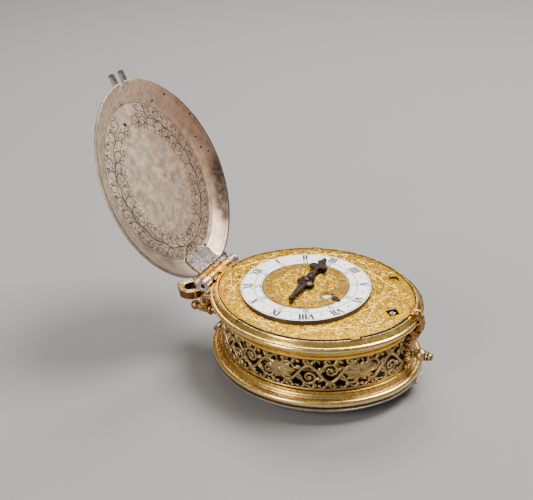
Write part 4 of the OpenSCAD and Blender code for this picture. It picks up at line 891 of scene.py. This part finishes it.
def wreath(b, place, d, half_width, pitch, size, width, seed):
    """Two stems that leave one end of the oval and meet at the other, with curls on both sides."""
    rng = random.Random(seed)
    half = oval_len(d) / 2
    for side in (-1, 1):
        def along(t, off):
            # t runs from the hinge end to the far end
            x, y, nx, ny = oval_at(half + side * half * t * 0.985 - 1.5, d)
            return x + nx * off, y + ny * off
        steps = 90
        stem = [along(i / steps, 0.4 * sin(i * 0.55)) for i in range(steps + 1)]
        ribbon(b, place, stem, lambda t: width * (1.3 - 0.5 * t), 0.06)
        step = pitch / half
        count = int(half / pitch)
        for k in range(count):
            for hand in (-1, 1):
                t = (k + 0.4 + (0.3 if hand > 0 else 0)) / count
                if t > 0.98:
                    continue
                r = size * rng.uniform(0.72, 1.2)
                off = hand * (half_width - r)
                cx, cy = along(t, off)
                fx, fy = along(min(1, t + 0.01), off)
                fwd = atan2(fy - cy, fx - cx)
                turn = -side * hand
                coil = curl((cx, cy), r, fwd + pi + turn * 0.95, rng.uniform(0.95, 1.5), turn, 0.12, 26)
                root = along(max(0, t - 1.15 * step), 0)
                mid = along(max(0, t - 0.6 * step), off * 0.42)
                ribbon(b, place, [root, mid] + coil, lambda t: width * (1.05 - 0.35 * t), 0.055)
                for j in range(3):
                    a = fwd + turn * (0.05 + 0.9 * j)
                    leaf(b, place, cx + r * 1.02 * cos(a), cy + r * 1.02 * sin(a), a + turn * 0.9,
                         r * rng.uniform(0.5, 0.95), 0.24 + 0.13 * r, CUT_BASE, CUT_H, bend=turn * 0.9)
                bud = curl(along(max(0, t - 0.55 * step), off * 1.25), 0.36 * r, fwd, 1.2, -turn, 0.06, 12)
                ribbon(b, place, bud, 0.8 * width, CUT_H)
                leaf(b, place, *along(t - 0.45 * step, off * 0.35), fwd - hand * side * 0.9, 1.2, 0.4,
                     CUT_BASE, CUT_H)


def cover_engraving():
    b = Build()
    wreath(b, on_cover_floor, WREATH_D, 4.9, 5.0, 2.25, 0.58, 21)
    # crossing stems at the hinge end
    x0 = -(HALF_LEN + WREATH_D)
    for side in (-1, 1):
        ribbon(b, on_cover_floor, [(x0 - 2.6, side * -4.4), (x0 - 0.4, side * -1.8), (x0 + 0.2, side * 0.6),
                                   (x0 + 0.6, side * 3.2)], 0.42, 0.06)
        for k in range(4):
            leaf(b, on_cover_floor, x0 - 0.2 - 0.4 * k, side * (0.6 + 1.2 * k), pi + side * (0.25 - 0.22 * k),
                 2.9 - 0.3 * k, 0.6, CUT_BASE, 0.06, bend=side * 0.5)
    b.make("cover_wreath", "front_cover", "silver", [CUT_SILVER_AND_SHADE])


def cover_holes():
    b = Build()
    for x, y, r in DRILLED:
        # each drilled hole is a dark disc of painted shade
        blob(b, on_cover_inside, (x, y), r, CUT_BASE, CUT_H, 10)
    b.make("cover_drilled_holes", "front_cover", "silver", [PAINTED_SHADE])


def cover_lines():
    b = Build()

    def rim_points(d):
        """The oval at offset d, open where the catch passes."""
        n, run = 220, oval_len(d) - 2 * HOOK_GAP
        return [oval_at(HOOK_GAP + run * i / n, d)[:2] for i in range(n + 1)]
    ribbon(b, on_cover_rim, rim_points(1.3), 0.62, 0.06)
    ribbon(b, on_cover_rim, rim_points(0.93), 0.2, CUT_H, 1)
    ribbon(b, on_cover_inside, rim_points(0.1), 0.22, CUT_H, 1)
    # painted shade along the step where the border meets the floor
    ribbon(b, on_cover_inside, oval_points(-6.7, 220), 0.3, 0.04, 1, closed=True)
    b.make("cover_rim_lines", "front_cover", "silver", [BRIGHT_SILVER, CUT_SILVER_AND_SHADE])


def leaf_silvering():
    """Flakes of worn silvering round the hinge leaf."""
    rng = random.Random(4)
    b = Build()
    sides = 9
    for k in range(64):
        x, y, r = rng.uniform(-38.6, -31.8), rng.uniform(-8.6, 8.6), rng.uniform(0.35, 0.95)
        ragged = [rng.uniform(0.55, 1.2) for _ in range(sides)]
        blob(b, on_cover_inside, (x, y), r, -0.05, 0.07, sides, 0 if k % 5 else 1,
             lambda a: ragged[int(round(a / (2 * pi) * sides)) % sides])
    b.make("cover_leaf_silvering", "front_cover", "silver", [BRIGHT_SILVER, CUT_SILVER_AND_SHADE])


def outside_wreaths():
    b = Build()
    wreath(b, on_cover_outside, WREATH_D, 4.3, 4.7, 1.85, 0.4, 33)
    for d, width in ((-17.2, 0.3), (-18.0, 0.22)):
        ribbon(b, on_cover_outside, oval_points(d, 220), width, CUT_H, closed=True)
    b.make("cover_outside_wreath", "front_cover", "silver", [CUT_SILVER_AND_SHADE])
    b = Build()
    wreath(b, on_back_slope, -1.7, 2.1, 3.2, 1.1, 0.3, 44)
    b.make("back_cover_wreath", "back_cover", "silver", [CUT_SILVER_AND_SHADE])


# Pendant, catch and strap: cast foliage on plain cores
LOOP_C, LOOP_Z, LOOP_R, LOOP_T = (-57.6, 0.0), 21.3, 3.2, 3.4
STEM_Z = 14.0
FLANGE_X = -56.3
ARM_X, ARM_Y, ARM_Z = -50.4, 2.6, 17.0
FINIAL_Z = BAND_LOW + 0.36 * (BAND_HIGH - BAND_LOW)
STRAP_D = BAND_D + 0.75
# The hook's outer face as (x, z), and the web below it
HOOK_LINE = ((43.9, 28.5), (44.2, 31.5), (43.6, 34.2), (42.0, 36.0), (40.2, 36.6), (39.1, 36.3))
WEB_X, WEB_Y, WEB_Z = 42.7, 0.9, 30.2


def tube(b, origin, axis, prof, mat=0):
    """A turned shape: prof lists (distance along the axis, radius)."""
    sides = 24
    o, a = Vector(origin), Vector(axis).normalized()
    e1 = a.orthogonal().normalized()
    e2 = a.cross(e1)
    verts = []
    for s, r in prof:
        for i in range(sides):
            t = 2 * pi * i / sides
            verts.append(o + a * s + (e1 * cos(t) + e2 * sin(t)) * r)
    b.add(verts, skin(len(prof), sides), mat)


def bead(s, r, w):
    """A half-round ring's profile."""
    return [(s - w / 2, r - 0.05), (s - w / 3, r + w * 0.38), (s, r + w * 0.5), (s + w / 3, r + w * 0.38),
            (s + w / 2, r - 0.05)]


def pendant_details():
    b = Build()
    # a dark sleeve inside the loop's bore: painted shade on its inner wall
    tube(b, (*LOOP_C, LOOP_Z), (0, 0, 1),
         [(-LOOP_T / 2 + 0.02, LOOP_R - 0.02), (LOOP_T / 2 - 0.25, LOOP_R - 0.02)], 1)
    top = on_level(LOOP_Z + LOOP_T / 2, LOOP_C)
    ribbon(b, top, circle((0, 0), LOOP_R + 0.45, 48), 0.7, 0.16, closed=True)
    ribbon(b, top, circle((0, 0), LOOP_R + 1.75, 48), 0.4, 0.1, closed=True)
    for i in range(10):
        a = 0.6 + i * 0.56
        leaf(b, top, (LOOP_R + 0.8) * cos(a), (LOOP_R + 0.8) * sin(a), a + 0.9, 1.3, 0.6, CUT_BASE, 0.12)
    b.make("pendant_loop_chasing_and_bore_shade", "pendant", "gilt_case", [PENDANT_GILT, ROSE_DARK])

    b = Build()
    for s in (1.2, 2.6, 4.4, 6.2):
        tube(b, (-HALF_LEN, 0, STEM_Z), (-1, 0, 0), bead(s, 1.5, 0.7))
    tube(b, (FLANGE_X, 0, STEM_Z), (-1, 0, 0), bead(0, 2.08, 0.4))
    for hand in (-1, 1):
        def on_arm(u, v, h):
            return ARM_X + u, hand * (ARM_Y + h), ARM_Z + v
        fan = ((0.4, 2.6), (1.3, 2.4), (2.2, 2.4), (3.0, 2.6), (4.1, 2.2), (5.3, 2.2))
        for i, (a, size) in enumerate(fan):
            leaf(b, on_arm, 0.2 * cos(a), 0.2 * sin(a), a, size, 1.3, -0.1, 0.5, i % 2, bend=0.5, lobes=2)
        blob(b, on_arm, (0, 0), 0.7, 0.0, 0.75, 12)
        for i in range(4):
            leaf(b, on_arm, 1.6 + 1.9 * i, 3.3, 0.5, 2.4, 1.1, -0.1, 0.35, i % 2, bend=-0.8, lobes=2)
            leaf(b, on_arm, 2.2 + 1.9 * i, 3.9, 2.9, 2.0, 1.0, -0.1, 0.3, (i + 1) % 2, bend=0.8, lobes=2)
    b.make("pendant_foliage", "case", "rose_gilt", [GILT, STRAP_GILT])


def on_hook(u, v, h):
    """u counts the corners of the hook's outer face."""
    t = max(0.0, min(len(HOOK_LINE) - 1.001, u))
    i = int(t)
    f = t - i
    (x0, z0), (x1, z1) = HOOK_LINE[i], HOOK_LINE[i + 1]
    k = hypot(x1 - x0, z1 - z0)
    return x0 + f * (x1 - x0) + (z1 - z0) / k * h, v, z0 + f * (z1 - z0) - (x1 - x0) / k * h


def catch_foliage():
    b = Build()
    for i in range(9):
        for hand in (-1, 1):
            leaf(b, on_hook, 0.45 * i + 0.2, 0.1 * hand, hand * 1.1, 1.4 if i < 8 else 1.0, 0.6, -0.15, 0.24,
                 i % 2, -hand * 0.5, 2)
    ribbon(b, on_hook, [(0.1 + 0.12 * i, 0) for i in range(38)], 0.7, 0.42)
    for hand in (-1, 1):
        def on_web(u, v, h):
            return WEB_X + u, hand * (WEB_Y + h), WEB_Z + v
        blob(b, on_hook, (4.5, hand * 0.65), 0.7, -0.1, 0.3, 12)
        for k, a in enumerate((0.2, 1.2, 2.4, 4.4, 5.4)):
            leaf(b, on_web, 0.1 * k, 0, a, 1.1, 0.9, -0.4, 0.3, k % 2, lobes=2)
    # the leaf that lies over the hook's tip
    for a in (0.3, 0.12, -0.12, -0.3):
        leaf(b, on_level(36.75), 42.6, 0, pi + a, 3.3, 1.1, -0.5, 0.35, 0 if abs(a) > 0.2 else 1,
             -a * 0.7, 2)
    b.make("catch_foliage", "front_catch", "rose_gilt", [ROSE_GILT, STRAP_GILT])


def strap_foliage():
    b = Build()

    def on_strap(u, v, h):
        x, y, nx, ny = oval_at(u, STRAP_D)
        return x + nx * h, y + ny * h, v
    rng = random.Random(6)
    for z in (13.6, 15.6, 17.7, 19.8, 21.9, 24.0, 25.8):
        for hand in (-1, 1):
            for j in range(2):
                leaf(b, on_strap, hand * (0.6 + 1.5 * j), z, pi / 2 - hand * rng.uniform(0.7, 1.5),
                     rng.uniform(1.9, 2.6), 1.2, -0.1, rng.uniform(0.4, 0.75), (j + int(z)) % 2,
                     -hand * 0.7, 2)
    for z in (14.6, 22.8, 25.0):
        blob(b, on_strap, (0, z), 0.8, 0.0, 0.9, 12)
    # dark rings round the finial: painted shade in its grooves
    for s, r, w in ((1.3, 1.2, 0.5), (4.85, 1.62, 0.5), (5.75, 1.6, 0.4), (7.2, 1.2, 0.3)):
        tube(b, (HALF_LEN + 2 + BAND_D, 0, FINIAL_Z), (1, 0, 0), bead(s, r, w), 2)
    b.make("strap_foliage", "case", "rose_gilt", [STRAP_GILT, ROSE_GILT, ROSE_DARK])


# Hinge: grooves and rings of the barrels, and the pin's sunk ends
BARREL_R = 2.2


def hinge_details():
    cover, case = Build(), Build()
    for y in (-12.3, -8.4, 8.4, 12.3):
        tube(cover, (HINGE_X, y, HINGE_Z), (0, 1, 0), bead(0, BARREL_R, 0.45))
    for hand in (-1, 1):
        end = [(0, 2.0), (0.06, 1.9), (0.06, 1.1), (-0.1, 0.95)]
        tube(cover, (HINGE_X, hand * 12.62, HINGE_Z), (0, hand, 0), end)
        # a dark disc of painted shade in the pin's sunk end
        tube(cover, (HINGE_X, hand * 12.3, HINGE_Z), (0, hand, 0), [(0.1, 0.9), (0.12, 0.01)], 1)
        for y in (3.2, 7.2):
            tube(case, (HINGE_X, hand * y, HINGE_Z), (0, 1, 0), bead(0, BARREL_R, 0.45))
    cover.make("cover_barrel_rings", "front_cover", "silver", [SILVER_HINGE, PAINTED_SHADE])
    case.make("case_barrel_rings", "case", "rose_gilt", [ROSE_GILT])


def hand_details():
    b = Build()
    for rise, r, w in ((0.95, 2.0, 0.4), (1.15, 1.35, 0.35)):
        tube(b, (*DIAL_C, HAND_Z + rise), (0, 0, 1), bead(0, r, w))
    ca, sa = cos(HAND_DIR), sin(HAND_DIR)

    def on_hand(u, v, h):
        return DIAL_C[0] + ca * u - sa * v, DIAL_C[1] + sa * u + ca * v, HAND_Z + 0.8 + h
    for u, r in ((4.6, 1.0), (7.6, 0.8), (-4.8, 0.85), (-12.6, 0.75)):
        blob(b, on_hand, (u, 0), r, -0.5, 0.35, 16)
    b.make("hand_turning", "hour_hand", "dark_steel", [DARK_STEEL])


# Upper moulding: engraved hatching on its slope, and fine lines that stop at the hinge
SLOPE_D, SLOPE_Z = 0.7, 34.25
HINGE_SIDE_X = -38.5


def slope_hatching():
    b = Build()
    length = oval_len(SLOPE_D)
    count = 430
    for i in range(count):
        x, y, nx, ny = oval_at(length * i / count, SLOPE_D)
        if x < HINGE_SIDE_X:
            continue

        def on_slope(u, v, h):
            out = (v + h) * 0.7
            return x - ny * u + nx * out, y + nx * u + ny * out, SLOPE_Z + (h - v) * 0.7
        ribbon(b, on_slope, [(-0.14, -0.5), (0.16, 0.5)], 0.24, 0.05, 1, taper=False)
    n = 240
    for d, z in ((1.42, 33.45), (0.1, 31.1), (-0.3, 30.4)):
        length = oval_len(d)
        line = [oval_at(length / 2 + 10 + (length - 20) * i / (n - 1), d) for i in range(n)]

        def on_line(u, v, h):
            px, py, nx, ny = line[int(u) % n]
            return px + nx * h, py + ny * h, z + v
        ribbon(b, on_line, [(i, 0) for i in range(n)], 0.24, 0.1, 1, taper=False)
    b.make("moulding_chasing", "case", "gilt_case", [GILT, CUT_GOLD_AND_SHADE])


# Stage and light, in metres: a round floor, flat to FLAT_R, that curves up to its edge
FLAT_R, CURVE_R, EDGE_H = 1.5, 0.6, 0.75


def stage():
    floor_z = cad_box[0][2]
    sides, steps = 72, 16
    prof = [(0.25, 0.0), (0.8, 0.0)]
    for i in range(steps + 1):
        a = pi / 2 * i / steps
        prof.append((FLAT_R + CURVE_R * sin(a), CURVE_R * (1 - cos(a))))
    prof.append((FLAT_R + CURVE_R, EDGE_H))
    verts = [(0, 0, floor_z)]
    for r, h in prof:
        for i in range(sides):
            a = 2 * pi * i / sides
            verts.append((r * cos(a), r * sin(a), floor_z + h))
    faces = [(0, 1 + i, 1 + (i + 1) % sides) for i in range(sides)]
    for j in range(len(prof) - 1):
        for i in range(sides):
            a, b = 1 + j * sides + i, 1 + j * sides + (i + 1) % sides
            faces.append((a, a + sides, b + sides, b))
    me = bpy.data.meshes.new("floor")
    me.from_pydata(verts, [], faces)
    me.shade_smooth()
    ob = bpy.data.objects.new("floor", me)
    bpy.context.scene.collection.objects.link(ob)
    me.materials.append(Nodes("backdrop").finish((0.255, 0.247, 0.244), 0.9, metallic=0.0))


def area_light(name, place, aim, size, power, color):
    li = bpy.data.lights.new(name, "AREA")
    li.shape = "RECTANGLE"
    li.size, li.size_y = size
    li.energy = power
    li.color = color
    ob = bpy.data.objects.new(name, li)
    bpy.context.scene.collection.objects.link(ob)
    ob.location = place
    ob.rotation_euler = (Vector(aim) - Vector(place)).to_track_quat("-Z", "Y").to_euler()


def sky(color, strength):
    world = bpy.data.worlds.new("studio")
    bpy.context.scene.world = world
    world.use_nodes = True
    background = world.node_tree.nodes["Background"].inputs
    background["Color"].default_value = (*color, 1)
    background["Strength"].default_value = strength


dress_solids()
vine_band()
milled("milled_upper_line", "case", "gilt_case", GILT, 1.51, 33.1, 0.62, (0.24, 0.32), 0.3, 0.16)
milled("milled_back_rim", "back_cover", "silver", BRIGHT_SILVER, 3.0, 6.94, 0.66, (0.26, 0.34), 0.5, 0.13)
milled("milled_lower_line", "case", "gilt_case", GILT, 0.32, 10.9, 0.7, (0.26, 0.3), -0.3, 0.14)
dial_plate_foliage()
lunar_dial_engraving()
chapter_numerals()
plate_gap()
date_track()
cover_engraving()
cover_holes()
cover_lines()
leaf_silvering()
outside_wreaths()
pendant_details()
catch_foliage()
strap_foliage()
hinge_details()
hand_details()
slope_hatching()
stage()
area_light("key", (0.36, 0.28, 0.93), (0, 0, 0.03), (0.45, 0.45), 17.5, (1.0, 0.98, 0.95))
area_light("back", (-0.27, 0.57, 0.88), (0, 0, 0.02), (0.6, 0.4), 11.5, (1.0, 0.98, 0.95))
area_light("front", (-0.25, -0.8, 0.5), (0, 0, 0.03), (0.18, 0.45), 5.6, (1.0, 0.97, 0.92))
sky((0.95, 0.93, 0.91), 0.28)
